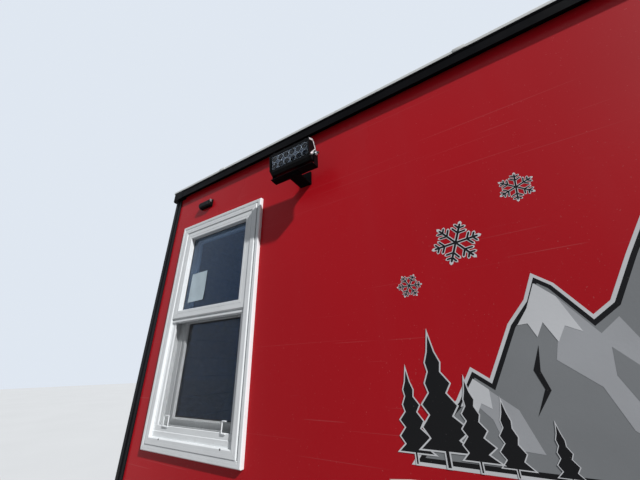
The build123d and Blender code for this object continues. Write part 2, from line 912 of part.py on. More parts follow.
def window_casing():
    base = ring(window_width, window_height, casing_band + groove, -casing_base, 0)
    strip = ring(window_width, window_height, casing_band, -casing_proud, 0)
    outline = front_edges(strip, -casing_proud)
    return chamfer(outline, casing_chamfer) + base


def window_frame():
    """Frame through the wall, with the meeting rail, the bars of the upper light and
    the trim on the room side."""
    width = window_width - 2 * frame_band_start
    height = window_height - 2 * frame_band_start
    face = ring(width, height, frame_face, -frame_proud, frame_depth)
    face = chamfer(front_edges(face, -frame_proud), frame_chamfer)
    step_front = -frame_proud + frame_step_depth
    step = ring(
        window_width - 2 * frame_band_end,
        window_height - 2 * frame_band_end,
        frame_step,
        step_front,
        frame_depth,
    )
    half = sash_opening_width / 2 + frame_step
    rail = block(
        (-half, half),
        (-meeting_rail_front, meeting_rail_depth - meeting_rail_front),
        (rail_low, rail_high),
    )
    upper_height = upper_high - rail_high
    glass_front = upper_glass_back - glass_thickness
    bars = ring(sash_opening_width, upper_height, upper_band, -upper_front, glass_front)
    bars = chamfer(front_edges(bars, -upper_front), frame_chamfer)
    bars = Pos(0, 0, (upper_high + rail_high) / 2) * bars
    room = ring(
        width + 2 * inner_casing_band,
        height + 2 * inner_casing_band,
        inner_casing_band + frame_face,
        wall_thickness + lining_thickness,
        wall_thickness + lining_thickness + inner_casing_thickness,
    )
    rail = chamfer(front_edges(rail, -meeting_rail_front), frame_chamfer)
    return face + step + rail + bars + room


def upper_glass():
    height = upper_high - rail_high
    pane = Box(sash_opening_width, glass_thickness, height)
    return Pos(0, upper_glass_back - glass_thickness / 2, (upper_high + rail_high) / 2) * pane


def lower_sash():
    """Sliding sash in the lower half, its top rail behind the meeting rail."""
    low = lower_low
    height = rail_high - low
    sash = ring(sash_opening_width, height, sash_band, sash_front, sash_front + sash_depth)
    return Pos(0, 0, (rail_high + low) / 2) * chamfer(front_edges(sash, sash_front), frame_chamfer)


def lower_glass():
    height = rail_high - lower_low - 2 * sash_band
    pane = Box(sash_opening_width - 2 * sash_band, glass_thickness, height)
    return Pos(0, sash_front + sash_depth / 2, (rail_high + lower_low) / 2) * pane


def screen_frame():
    height = rail_low - lower_low
    middle = (rail_low + lower_low) / 2
    frame = ring(sash_opening_width, height, screen_band, screen_front, screen_front + screen_depth)
    return Pos(0, 0, middle) * frame


def insect_screen():
    height = rail_low - lower_low - 2 * screen_band
    middle = (rail_low + lower_low) / 2
    mesh = Box(sash_opening_width - 2 * screen_band, mesh_thickness, height)
    return Pos(0, screen_front + screen_depth / 2, middle) * mesh


# Entrance, in the frame of its opening
def door_frame():
    """White frame that lines the opening, with a stop for the slab."""
    width = door_opening_width
    height = door_opening_height
    depth = wall_thickness + lining_thickness
    lining = ring(width, height, door_frame_band, 0, depth)
    flange = ring(
        width + 2 * door_frame_band,
        height,
        2 * door_frame_band,
        -door_frame_proud,
        0,
    )
    head = block(
        (-width / 2 - door_frame_band, width / 2 + door_frame_band),
        (-door_frame_proud, 0),
        (height / 2 - door_frame_band, height / 2 + door_frame_band),
    )
    clear_width = width - 2 * door_frame_band
    clear_height = height - 2 * door_frame_band
    clear_of_door = Box(clear_width, 3 * door_frame_proud, clear_height)
    flange -= clear_of_door
    stop = ring(clear_width, clear_height, door_stop, door_thickness - door_frame_proud + door_gap, depth)
    return lining + flange + head + stop


def door_slab():
    front = -door_frame_proud + door_gap
    slab = block(
        (-door_width / 2, door_width / 2),
        (front, front + door_thickness),
        (-door_height / 2, door_height / 2),
    )
    light_z = floor_top_z + door_light_z - door_z
    hole = Pos(0, front + door_thickness / 2, light_z)
    slab -= hole * Box(door_light_width, 2 * door_thickness, door_light_height)
    band = ring(
        door_light_width + 2 * door_light_band,
        door_light_height + 2 * door_light_band,
        door_light_band,
        front - door_light_proud,
        front,
    )
    band = chamfer(front_edges(band, front - door_light_proud), frame_chamfer)
    slab += Pos(0, 0, light_z) * band
    panel_z = -door_height / 2 + door_panel_rise + door_panel_height / 2
    panel_x = (door_panel_width + door_panel_gap) / 2
    line_y = (front - past, front + door_panel_line / 2)
    for side in sides:
        line = ring(door_panel_width, door_panel_height, door_panel_line, *line_y)
        slab -= Pos(side * panel_x, 0, panel_z) * line
    return slab


def door_glass():
    front = -door_frame_proud + door_gap
    light_z = floor_top_z + door_light_z - door_z
    pane = Box(door_light_width, glass_thickness, door_light_height)
    return Pos(0, front + door_thickness / 2, light_z) * pane


def door_hardware():
    """Lever handle, deadbolt and hinge knuckles on the outside."""
    front = -door_frame_proud + door_gap
    latch_x = door_width / 2 - handle_inset
    latch_z = floor_top_z + handle_z - door_z
    rose = rod_y(handle_rose_radius, latch_x, (front - handle_rose_depth, front), latch_z)
    neck = rod_y(lever_radius, latch_x, (front - lever_standoff, front), latch_z)
    lever = rod_x(
        lever_radius,
        (latch_x - lever_length, latch_x + lever_radius),
        front - lever_standoff,
        latch_z,
    )
    bolt_z = latch_z + deadbolt_rise
    bolt = rod_y(handle_rose_radius, latch_x, (front - handle_rose_depth, front), bolt_z)
    pieces = [rose + neck + lever, bolt]
    hinge_x = -door_width / 2 - door_gap / 2
    hinge_y = -door_frame_proud - hinge_radius
    for number in (-1, 0, 1):
        z = number * hinge_spacing
        pieces.append(rod_z(hinge_radius, hinge_x, hinge_y, (z - hinge_height / 2, z + hinge_height / 2)))
    return pieces


# Lights
def marker_light():
    """Marker light with one rounded end, on its base."""
    outline = Rectangle(marker_length, marker_height)
    outline = fillet(outline.vertices().group_by(Axis.X)[0], marker_round)
    base = extrude(Plane.XZ * outline, amount=marker_base)
    lens_outline = offset(outline, -marker_base / 2)
    lens = extrude(Plane.XZ * lens_outline, amount=marker_depth)
    outer = lens.edges().group_by(Axis.Y)[0]
    return chamfer(outer, marker_edge) + base


def tail_light():
    outline = SlotOverall(tail_length, tail_height)
    body = extrude(Plane.XZ * outline, amount=tail_depth)
    return chamfer(body.edges().group_by(Axis.Y)[0], tail_edge)


# Light bar, in the frame of its pivot: X along the bar, Y towards the wall, Z up
lamp_front = -lamp_face_front
lamp_under = lamp_height / 2 - lamp_face_rise
face_corner_reach = sqrt((lamp_face_front - lamp_bezel_chamfer) ** 2 + lamp_under**2)
plate_corner_reach = sqrt((lamp_face_front + end_plate_proud) ** 2 + (lamp_under - end_plate_chamfer) ** 2)
lamp_corner_reach = max(face_corner_reach, plate_corner_reach)
lamp_low = -lamp_under
optic_width = lamp_length - 2 * lamp_face_frame + 2 * end_plate_thickness
optic_height = lamp_height - 2 * lamp_rim


def lamp_section():
    """Section of the housing in (depth, height): flat face, round back with fins."""
    flat = Pos(lamp_front + lamp_bezel_depth / 2, lamp_face_rise) * Rectangle(lamp_bezel_depth, lamp_height)
    flat = chamfer(flat.vertices().group_by(Axis.X)[0], lamp_bezel_chamfer)
    centre = lamp_front + lamp_bezel_depth
    back = Pos(centre, lamp_face_rise) * Ellipse(lamp_depth - lamp_bezel_depth, lamp_height / 2)
    half = Pos(centre + lamp_depth, lamp_face_rise) * Rectangle(2 * lamp_depth, 2 * lamp_height)
    section = flat + (back & half)
    pitch = lamp_height / (lamp_fin_count + 1)
    for number in range(lamp_fin_count):
        height = lamp_low + pitch * (number + 1)
        rise = (height - lamp_face_rise) / (lamp_height / 2)
        reach = centre + (lamp_depth - lamp_bezel_depth) * sqrt(1 - rise**2)
        slot = Rectangle(2 * lamp_fin_depth, lamp_fin_slot)
        section -= Pos(reach, height) * slot
    return section


def lamp_housing():
    body = Pos(-lamp_length / 2, 0, 0) * in_section(lamp_section(), lamp_length)
    pocket = block(
        (-optic_width / 2 + lamp_face_frame / 4, optic_width / 2 - lamp_face_frame / 4),
        (lamp_front - past, lamp_front + reflector_depth + lens_thickness),
        (lamp_face_rise - optic_height / 2, lamp_face_rise + optic_height / 2),
    )
    body -= pocket
    middle = lamp_front - end_plate_proud + end_plate_depth / 2
    outline = Pos(middle, lamp_face_rise) * Rectangle(end_plate_depth, lamp_height)
    plate = in_section(chamfer(outline.vertices(), end_plate_chamfer), end_plate_thickness)
    for start in (-lamp_length / 2 - end_plate_thickness, lamp_length / 2):
        body += Pos(start, 0, 0) * plate
    return body


def lamp_optics():
    """Reflector block with its tapered cells, behind a clear front."""
    width = optic_width - lamp_face_frame / 2
    front = lamp_front + lens_thickness
    cell_width = width / reflector_columns
    cell_height = optic_height / reflector_rows
    optics = block(
        (-width / 2, width / 2),
        (front, front + reflector_depth),
        (lamp_face_rise - optic_height / 2, lamp_face_rise + optic_height / 2),
    )
    mouth = Rectangle(cell_width - 2 * reflector_wall, cell_height - 2 * reflector_wall)
    depth = reflector_depth - reflector_wall
    cell = extrude(Plane.XZ * mouth, amount=-depth, taper=reflector_taper)
    for column in range(reflector_columns):
        for row in range(reflector_rows):
            x = -width / 2 + cell_width * (column + 0.5)
            z = lamp_face_rise - optic_height / 2 + cell_height * (row + 0.5)
            optics -= Pos(x, front, z) * cell
    return optics


def hex_bolt(height):
    """Six-sided bolt head, standing on the XY plane."""
    return extrude(RegularPolygon(bracket_bolt_head, 6), height)


def lamp_bracket():
    """Strap round the bar with its side bolts, and the foot on the wall."""
    inner = lamp_length / 2 + end_plate_thickness + bracket_end_gap
    outer = inner + bracket_strap
    strap_y = (bracket_setback - bracket_strap_width, bracket_setback)
    strap_middle = sum(strap_y) / 2
    low = -lamp_corner_reach - bracket_clearance - foot_thickness
    foot_top = low - bracket_strap
    bracket = block((-outer, outer), strap_y, (foot_top, low))
    eye = Circle(bracket_strap_width / 2)
    root = Pos(strap_middle, low) * Rectangle(bracket_strap_width, 2 * bracket_strap)
    arm = in_section(make_hull([*eye.edges(), *root.edges()]), bracket_strap)
    shank_start = inner - bracket_end_gap + bracket_bolt_gap
    head_top = outer + bracket_head_height
    for side in sides:
        bracket += Pos(inner if side > 0 else -outer, 0, 0) * arm
        shank = (side * shank_start, side * (inner + bracket_bolt_out))
        bracket += rod_x(bracket_bolt_radius, shank, 0, 0)
        bracket += Rot(0, side * 90, 0) * Pos(0, 0, outer) * hex_bolt(head_top - outer)
    wall_plate = block(
        (-foot_width / 2, foot_width / 2),
        (lamp_pivot_proud - foot_thickness, lamp_pivot_proud),
        (foot_top - foot_thickness, foot_top + foot_height),
    )
    wall_plate = fillet(wall_plate.edges().filter_by(Axis.Y), foot_thickness)
    leg = block(
        (-foot_width / 2, foot_width / 2),
        (strap_y[0], lamp_pivot_proud),
        (foot_top - foot_thickness, foot_top),
    )
    bracket += wall_plate + leg
    for side in sides:
        bolt_place = Pos(side * foot_bolt_spacing / 2, strap_middle, 0)
        bracket += bolt_place * Pos(0, 0, foot_top - 2 * foot_thickness) * hex_bolt(foot_thickness)
        bracket += bolt_place * Pos(0, 0, low) * hex_bolt(foot_thickness)
    return bracket


def lamp_places():
    """The four pivots, each with the name of its light."""
    places = {}
    for wall in ("street", "curb"):
        for side, end in ((-1, "left"), (1, "right")):
            pivot = on_wall(wall, side * lamp_u, lamp_pivot_z) * Pos(0, -lamp_pivot_proud, 0)
            places[f"{wall}_{end}"] = pivot
    return places


# Writing the nodes
os.makedirs("parts", exist_ok=True)
save("main_rails", main_rails())
save("rim_tubes", rim_tubes())
save("cross_members", cross_members())
save("drawbar", drawbar())
save("hitch_coupler", coupler())
save("tongue_jack", jack())
save("jack_leg", jack_leg())
save("swing_arms", swing_arms())
all_tyres, all_rims = wheels()
save("tyres", all_tyres)
save("wheel_rims", all_rims)
save("wheel_wells", wheel_wells())
save("wheel_arch_trims", arch_trims())
save("floor_deck", floor_deck())
save("hole_collars", hole_collars())
save("hole_lids", hole_lids())
save("street_side_wall", side_wall("street"))
save("curb_side_wall", side_wall("curb"))
save("front_wall", end_wall("front"))
save("rear_wall", end_wall("rear"))
save("interior_lining", interior_lining())
save("roof_panel", roof_panel())
save("roof_membrane", roof_membrane())
save("roof_edge_rails", edge_rails())
save("roof_corner_caps", corner_caps())
save("corner_posts", corner_posts())
save("bottom_trim", bottom_trims())

window_parts = {
    "window_casings": window_casing(),
    "window_frames": window_frame(),
    "window_sashes": lower_sash(),
    "screen_frames": screen_frame(),
    "insect_screens": insect_screen(),
}
places = [place for wall_places in window_places.values() for place in wall_places]
for node, piece in window_parts.items():
    save(node, [place * piece for place in places])
panes = [place * pane for place in places for pane in (upper_glass(), lower_glass())]
save("window_glass", panes + [door_place * door_glass()])

save("door_frame", [door_place * door_frame()])
save("entrance_door", [door_place * door_slab()])
save("door_hardware", [door_place * piece for piece in door_hardware()])

markers = [on_wall(wall, side * marker_u, marker_z) for wall in ("street", "curb") for side in sides]
save("marker_lights", [place * marker_light() for place in markers])
tails = [on_wall("rear", side * (half_width - tail_corner_gap), tail_z) for side in sides]
save("tail_lights", [place * tail_light() for place in tails])

housing = lamp_housing()
optics = lamp_optics()
save("lamp_brackets", [place * lamp_bracket() for place in lamp_places().values()])
for name, place in lamp_places().items():
    tilted = place * Rot(lamp_tilt, 0, 0)
    save(f"{name}_lamp_housing", [tilted * housing])
    save(f"{name}_lamp_optics", [tilted * optics])
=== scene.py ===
"""Ice fishing hut on wheels: finishes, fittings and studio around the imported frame."""

import json
import math
import random
from collections import namedtuple

import bmesh
import bpy
from bpy.props import FloatProperty, FloatVectorProperty, IntProperty, PointerProperty
from mathutils import Matrix, Vector


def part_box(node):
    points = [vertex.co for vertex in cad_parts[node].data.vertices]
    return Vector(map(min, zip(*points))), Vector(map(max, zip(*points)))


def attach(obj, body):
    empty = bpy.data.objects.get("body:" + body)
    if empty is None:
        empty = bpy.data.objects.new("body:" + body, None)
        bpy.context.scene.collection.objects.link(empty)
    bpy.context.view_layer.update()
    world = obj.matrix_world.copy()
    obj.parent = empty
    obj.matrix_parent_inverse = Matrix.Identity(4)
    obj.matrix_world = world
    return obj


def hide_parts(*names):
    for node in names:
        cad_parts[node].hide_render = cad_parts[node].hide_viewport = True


bl_info = {
    "name": "Ice fishing hut",
    "version": (1, 0, 0),
    "blender": (4, 5, 0),
    "location": "View3D > Sidebar > Hut",
    "description": "Dresses the frame of a wheeled ice fishing hut",
    "category": "Object",
}

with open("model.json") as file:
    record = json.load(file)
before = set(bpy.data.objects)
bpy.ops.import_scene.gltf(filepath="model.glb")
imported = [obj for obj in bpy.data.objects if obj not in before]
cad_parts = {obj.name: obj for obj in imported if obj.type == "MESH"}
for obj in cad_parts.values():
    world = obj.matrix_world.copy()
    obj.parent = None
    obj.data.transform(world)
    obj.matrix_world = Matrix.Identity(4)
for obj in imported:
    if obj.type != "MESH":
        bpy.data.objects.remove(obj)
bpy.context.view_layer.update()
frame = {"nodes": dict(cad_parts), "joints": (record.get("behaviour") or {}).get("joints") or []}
nodes = frame["nodes"]

# Levels and places, read from the frame
ROOF_LOW, ROOF_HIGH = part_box("roof_panel")
MEMBRANE_LOW, MEMBRANE_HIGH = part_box("roof_membrane")
CASING_LOW, CASING_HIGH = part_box("window_casings")
TYRE_LOW, TYRE_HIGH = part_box("tyres")
MARKER_LOW, MARKER_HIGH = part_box("marker_lights")
TAIL_LOW, TAIL_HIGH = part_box("tail_lights")
TRIM_LOW, TRIM_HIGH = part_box("bottom_trim")
ARCH_LOW, ARCH_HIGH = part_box("wheel_arch_trims")

BODY_X = (ROOF_LOW.x + ROOF_HIGH.x) / 2
HALF_LENGTH = (ROOF_HIGH.x - ROOF_LOW.x) / 2
HALF_WIDTH = ROOF_HIGH.y
WALL_TURN = {"street": 0.0, "curb": 180.0, "front": -90.0, "rear": 90.0}
WALL_REACH = {"street": HALF_WIDTH, "curb": HALF_WIDTH, "front": HALF_LENGTH, "rear": HALF_LENGTH}
LAMPS = {joint["child"]: joint for joint in frame["joints"]}


# Sizes and colours that a user may change
def size(name, description, default):
    return FloatProperty(name=name, description=description, default=default, unit="LENGTH", precision=4)


def turn(name, description, degrees):
    return FloatProperty(name=name, description=description, default=math.radians(degrees), unit="ROTATION")


def count(name, description, default):
    return IntProperty(name=name, description=description, default=default, min=1)


def level(name, description, default):
    return FloatProperty(name=name, description=description, default=default, min=0.0)


def tint(name, description, default):
    return FloatVectorProperty(
        name=name, description=description, default=default, size=3, subtype="COLOR", min=0.0, max=1.0
    )


class HutPaint(bpy.types.PropertyGroup):
    wall: tint("Wall red", "Glossy red of the wall panels", (0.470, 0.007, 0.014))
    wall_deep: tint("Deep wall red", "Darker drift of the wall red", (0.410, 0.006, 0.012))
    vinyl: tint("White vinyl", "Window units and door frame", (0.77, 0.79, 0.80))
    trim: tint("Black trim", "Roof rails, caps and edge strips", (0.0022, 0.0022, 0.0026))
    membrane: tint("Roof membrane", "White roof sheet", (0.68, 0.69, 0.68))
    chassis: tint("Chassis black", "Painted steel under the floor", (0.022, 0.022, 0.024))
    rim: tint("Wheel paint", "Silver paint of the wheels", (0.50, 0.51, 0.52))
    dust: tint("Road dust", "Dust on the lower parts", (0.26, 0.22, 0.17))
    glass: tint("Glass tint", "Tint of the window panes", (0.34, 0.42, 0.52))


class HutWindow(bpy.types.PropertyGroup):
    width: size("Unit width", "Overall width of a window unit", 0.562)
    reach: size("Window reach", "Distance of the side windows from the middle of the wall", 2.168)
    casing_band: size("Casing band", "Width of the raised outer strip", 0.018)
    casing_proud: size("Casing proud", "How far the casing stands out", 0.016)
    casing_chamfer: size("Casing chamfer", "Chamfer of the casing", 0.003)
    groove: size("Groove", "Groove between the casing and the frame", 0.004)
    groove_proud: size("Groove floor", "How far the floor of the groove stands out", 0.005)
    face_band: size("Frame band", "Width of the frame's flat face", 0.026)
    face_proud: size("Frame proud", "How far the frame stands out", 0.018)
    face_chamfer: size("Frame chamfer", "Chamfer of the frame", 0.0025)
    step: size("Step", "Width of the step before the sash", 0.006)
    step_proud: size("Step proud", "How far the step stands out", 0.006)
    frame_back: size("Frame depth", "How far the frame runs into the room", 0.066)
    room_band: size("Room trim", "Band of the trim on the room side", 0.034)
    line: size("Moulded line", "Half width of a fine moulded line", 0.0005)
    mitre_gap: size("Mitre gap", "Half gap between two mitred bars", 0.00035)
    rail_height: size("Meeting rail", "Height of the meeting rail", 0.043)
    rail_offset: size("Rail offset", "Height of the meeting rail over the middle", 0.020)
    wire: size("Screen wire", "Thickness of a wire of the insect screen", 0.00013)
    wire_pitch: size("Screen pitch", "Distance between the wires of the screen", 0.0017)
    upper_band: size("Upper light band", "Width of the bars round the upper light", 0.030)
    upper_proud: size("Upper light proud", "How far the bars of the upper light stand out", 0.015)
    sash_band: size("Sash band", "Width of the bars of the lower sash", 0.032)
    sash_inner: size("Sash inner bars", "Width of the stepped inner bars of the lower sash", 0.026)


class HutLamp(bpy.types.PropertyGroup):
    columns: count("Columns", "Reflectors along the bar", 6)
    rows: count("Rows", "Reflectors across the bar", 2)
    tilt: turn("Tilt", "How far the bar looks down", 5.0)
    half_span: size("Half span", "Half length of the light opening", 0.088)
    low: size("Opening low", "Lower edge of the opening from the pivot", -0.0185)
    high: size("Opening high", "Upper edge of the opening from the pivot", 0.0435)
    bezel_low: size("Bezel low", "Lower edge of the housing from the pivot", -0.0405)
    bezel_high: size("Bezel high", "Upper edge of the housing from the pivot", 0.0655)
    bezel_chamfer: size("Bezel chamfer", "Chamfer along the bezel", 0.010)
    face: size("Face", "Depth of the face before the pivot", 0.037)
    lens: size("Lens", "Thickness of the clear front", 0.003)
    bowl_depth: size("Bowl depth", "Depth of a reflector bowl", 0.0165)
    led: size("LED", "Width of a light emitting chip", 0.0034)
    screw: size("Bezel screw", "Radius of a bezel screw's head", 0.0024)


class HutRoof(bpy.types.PropertyGroup):
    seam_pitch: size("Seam pitch", "Distance between the seams of the membrane", 1.2)
    seam_place: size("Seam place", "Place of a seam from the middle of the body", -0.987)
    seam_width: size("Seam width", "Width of the welded lap", 0.040)
    seam_rise: size("Seam rise", "Thickness of the welded lap", 0.0012)


class HutTyre(bpy.types.PropertyGroup):
    pitches: count("Tread pitches", "Sipes round the tyre", 60)
    sipe: turn("Sipe width", "Width of a sipe, as an angle", 0.55)
    sipe_depth: size("Sipe depth", "Depth of a sipe", 0.005)
    groove: size("Tread groove", "Width of a tread groove", 0.009)
    groove_depth: size("Groove depth", "Depth of a tread groove", 0.009)
    axle: size("Axle height", "Height of the axle over the ground", 0.341)
    spacing: size("Axle spacing", "Distance between the axles", 0.840)
    width: size("Tyre width", "Width of a tyre", 0.205)


class HutScrew(bpy.types.PropertyGroup):
    radius: size("Screw radius", "Radius of a trim screw's head", 0.0042)
    rise: size("Screw rise", "Height of a trim screw's head", 0.0022)
    pitch: size("Screw pitch", "Distance between trim screws", 0.30)


class HutArtwork(bpy.types.PropertyGroup):
    left: size("Street place", "Left end of the artwork on the street side", -1.3815)
    curb_left: size("Curb place", "Left end of the artwork on the curb side", -1.1835)
    base: size("Base height", "Height of the artwork's base line", 1.475)
    film: size("Film thickness", "Thickness of one layer of film", 0.00025)
    rim: size("White rim", "Width of the white rim round a shape", 0.007)


class HutStudio(bpy.types.PropertyGroup):
    floor_radius: size("Floor radius", "Radius of the studio floor", 60.0)
    floor: tint("Floor", "Colour of the studio floor", (0.60, 0.61, 0.62))
    floor_bounce: tint("Floor bounce", "Colour that the floor casts back on the hut", (0.20, 0.20, 0.205))
    backdrop: tint("Backdrop", "Colour behind the hut", (0.74, 0.80, 0.88))
    sky: tint("Soft light", "Colour of the soft light from all round", (0.86, 0.93, 1.0))
    sky_level: level("Soft light level", "Strength of the soft light", 0.225)
    key_level: level("Key light level", "Strength of the key light", 4.2)
    key_softness: turn("Key softness", "Angle over which the key light spreads", 1.6)
    fill_level: level("Fill light level", "Strength of the light from behind", 1.10)
    fill_softness: turn("Fill softness", "Angle over which the fill light spreads", 40.0)
    camera_lens: FloatProperty(name="Lens", description="Focal length", default=15.5475, unit="CAMERA")
    camera_yaw: turn("Camera yaw", "Turn of the camera to the left", 30.64)
    camera_pitch: turn("Camera pitch", "Tilt of the camera upwards", 24.69)
    camera_roll: turn("Camera roll", "Roll of the camera", -1.5011)
    camera_place: FloatVectorProperty(
        name="Camera place",
        description="Where the camera stands",
        default=(-0.5725, -2.023, 1.688),
        size=3,
        subtype="TRANSLATION",
        unit="LENGTH",
    )


GROUPS = {
    "hut_paint": HutPaint,
    "hut_window": HutWindow,
    "hut_lamp": HutLamp,
    "hut_roof": HutRoof,
    "hut_tyre": HutTyre,
    "hut_screw": HutScrew,
    "hut_artwork": HutArtwork,
    "hut_studio": HutStudio,
}


# Places
def on_wall(wall, across, height, out=0.0):
    """A place on a wall: local X runs to the right of a viewer outside, local Y into the
    wall and local Z up. Out is the distance before the wall's face."""
    place = Matrix.Translation((BODY_X, 0, 0)) @ Matrix.Rotation(math.radians(WALL_TURN[wall]), 4, "Z")
    return place @ Matrix.Translation((across, -WALL_REACH[wall] - out, height))


def window_places(window):
    """The middle of each window unit, and its height."""
    middle = (CASING_LOW.z + CASING_HIGH.z) / 2
    places = [on_wall(wall, side * window.reach, middle) for wall in ("street", "curb") for side in (-1, 1)]
    places += [on_wall(wall, 0, middle) for wall in ("front", "rear")]
    return places, CASING_HIGH.z - CASING_LOW.z


def lamp_place(name, tilt):
    """The tilted frame of a light bar, from its pivot."""
    pivot = Vector(LAMPS[name]["pos_m"])
    spin = Matrix.Rotation(math.radians(WALL_TURN["street" if pivot.y < 0 else "curb"]), 4, "Z")
    return Matrix.Translation(pivot) @ spin @ Matrix.Rotation(tilt, 4, "X")


def facing(direction):
    """A turn that points local Z along a direction."""
    return Vector(direction).to_track_quat("Z", "Y").to_matrix().to_4x4()


# Points local Z out of a wall, towards the viewer
FORWARD = facing((0, -1, 0))


# Modelling
def soften(bm, geometry, offset, segments=2):
    bmesh.ops.bevel(
        bm,
        geom=list(geometry),
        offset=offset,
        segments=segments,
        profile=0.5,
        affect="EDGES",
        clamp_overlap=True,
        material=-1,
    )


def add_box(bm, low, high, bevel=0.0, segments=2):
    """A box between two corners, with its edges rounded."""
    low = Vector(low)
    high = Vector(high)
    verts = bmesh.ops.create_cube(bm, size=1.0)["verts"]
    bmesh.ops.scale(bm, vec=high - low, verts=verts)
    bmesh.ops.translate(bm, vec=(low + high) / 2, verts=verts)
    if bevel:
        soften(bm, {edge for vert in verts for edge in vert.link_edges}, bevel, segments)


def add_strip(bm, half, low, high, bevel=0.0, segments=2):
    """A box across the middle line. The corners give its depth and its height."""
    add_box(bm, (-half, *low), (half, *high), bevel, segments)


def add_rod(bm, place, radius, length, sides=16, tip=None, bevel=0.0):
    """A round rod from a place along its local Z, with its far rim rounded."""
    tip = radius if tip is None else tip
    made = bmesh.ops.create_cone(
        bm, cap_ends=True, cap_tris=False, segments=sides, radius1=radius, radius2=tip, depth=length
    )
    verts = made["verts"]
    bmesh.ops.translate(bm, vec=(0, 0, length / 2), verts=verts)
    if bevel:
        rim = {e for v in verts for e in v.link_edges if all(p.co.z > length - 1e-6 for p in e.verts)}
        before = set(bm.verts) - set(verts)
        soften(bm, rim, bevel, 2)
        verts = [v for v in bm.verts if v not in before]
    bmesh.ops.transform(bm, matrix=place, verts=verts)


def only_verts(geometry):
    return [item for item in geometry if isinstance(item, bmesh.types.BMVert)]


def grown(bm, edges):
    """Extrudes edges and gives back the new vertices and edges."""
    made = bmesh.ops.extrude_edge_only(bm, edges=edges)["geom"]
    return only_verts(made), [item for item in made if isinstance(item, bmesh.types.BMEdge)]


def axle_distance(vert):
    return math.hypot(vert.co.x, vert.co.z)


def repeated(unit, places):
    """One unit, copied to all its places in a single mesh."""
    mesh = bpy.data.meshes.new("unit")
    unit.to_mesh(mesh)
    unit.free()
    whole = bmesh.new()
    for place in places:
        start = len(whole.verts)
        whole.from_mesh(mesh)
        whole.verts.ensure_lookup_table()
        bmesh.ops.transform(whole, matrix=place, verts=whole.verts[start:])
    bpy.data.meshes.remove(mesh)
    return whole


def add_mesh(bm, other):
    """Adds a second mesh to the first and frees it."""
    mesh = bpy.data.meshes.new("part")
    other.to_mesh(mesh)
    other.free()
    bm.from_mesh(mesh)
    bpy.data.meshes.remove(mesh)


def make_piece(name, bm, finishes, places=(), body="hut", smooth=35.0, outward=True):
    """Writes a mesh as a piece of the hut, in the named finishes, riding on a body."""
    if places:
        bm = repeated(bm, places)
    if outward:
        bmesh.ops.recalc_face_normals(bm, faces=bm.faces)
    mesh = bpy.data.meshes.new(name)
    bm.to_mesh(mesh)
    bm.free()
    mesh.shade_smooth()
    mesh.set_sharp_from_angle(angle=math.radians(smooth))
    for finish in finishes.split():
        mesh.materials.append(FINISHES[finish])
    piece = bpy.data.objects.new(name, mesh)
    bpy.context.scene.collection.objects.link(piece)
    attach(piece, body)
    return piece


def mitred_frame(bm, profile, width, height, gap):
    """Four bars round a rectangle with mitred ends. The profile gives the distance inwards
    from the outer edge and the depth."""
    for quarter in range(4):
        run, rise = (width, height) if quarter % 2 == 0 else (height, width)
        left = gap - run / 2
        start = [bm.verts.new((inward + left, depth, inward - rise / 2)) for inward, depth in profile]
        end = only_verts(bmesh.ops.extrude_face_region(bm, geom=[bm.faces.new(start)])["geom"])
        bmesh.ops.scale(bm, vec=(-1, 1, 1), verts=end)
        bmesh.ops.rotate(
            bm, matrix=Matrix.Rotation(quarter * math.pi / 2, 3, "Y"), verts=start + end, cent=(0, 0, 0)
        )


def add_frame(bm, profile, half, low, high, gap, depth=0.0):
    """A mitred frame between two heights, set back by a depth."""
    bars = bmesh.new()
    mitred_frame(bars, profile, 2 * half, high - low, gap)
    add_mesh(bm, repeated(bars, [Matrix.Translation((0, depth, (high + low) / 2))]))


def moulded(start, end, proud, chamfer, back, line, share):
    """A bar's profile: a chamfered face with one fine moulded line along it."""
    middle = start + (end - start) * share
    return [
        (start, back), (start, chamfer - proud), (start + chamfer, -proud), (middle - line, -proud),
        (middle, line - proud), (middle + line, -proud), (end - chamfer, -proud),
        (end, chamfer - proud), (end, back),
    ]


# Materials
def node(tree, kind, inputs=None, **settings):
    """A shader node with its settings made and its sockets filled or linked."""
    made = tree.nodes.new("ShaderNode" + kind)
    for key, value in settings.items():
        setattr(made, key, value)
    for key, value in (inputs or {}).items():
        if isinstance(value, bpy.types.NodeSocket):
            tree.links.new(value, made.inputs[key])
        else:
            made.inputs[key].default_value = value
    return made


def shaded(colour, factor):
    return tuple(channel * factor for channel in colour)


def opaque(colour):
    """A plain colour with its alpha. A socket passes through."""
    return colour if isinstance(colour, bpy.types.NodeSocket) else (*colour[:3], 1.0)


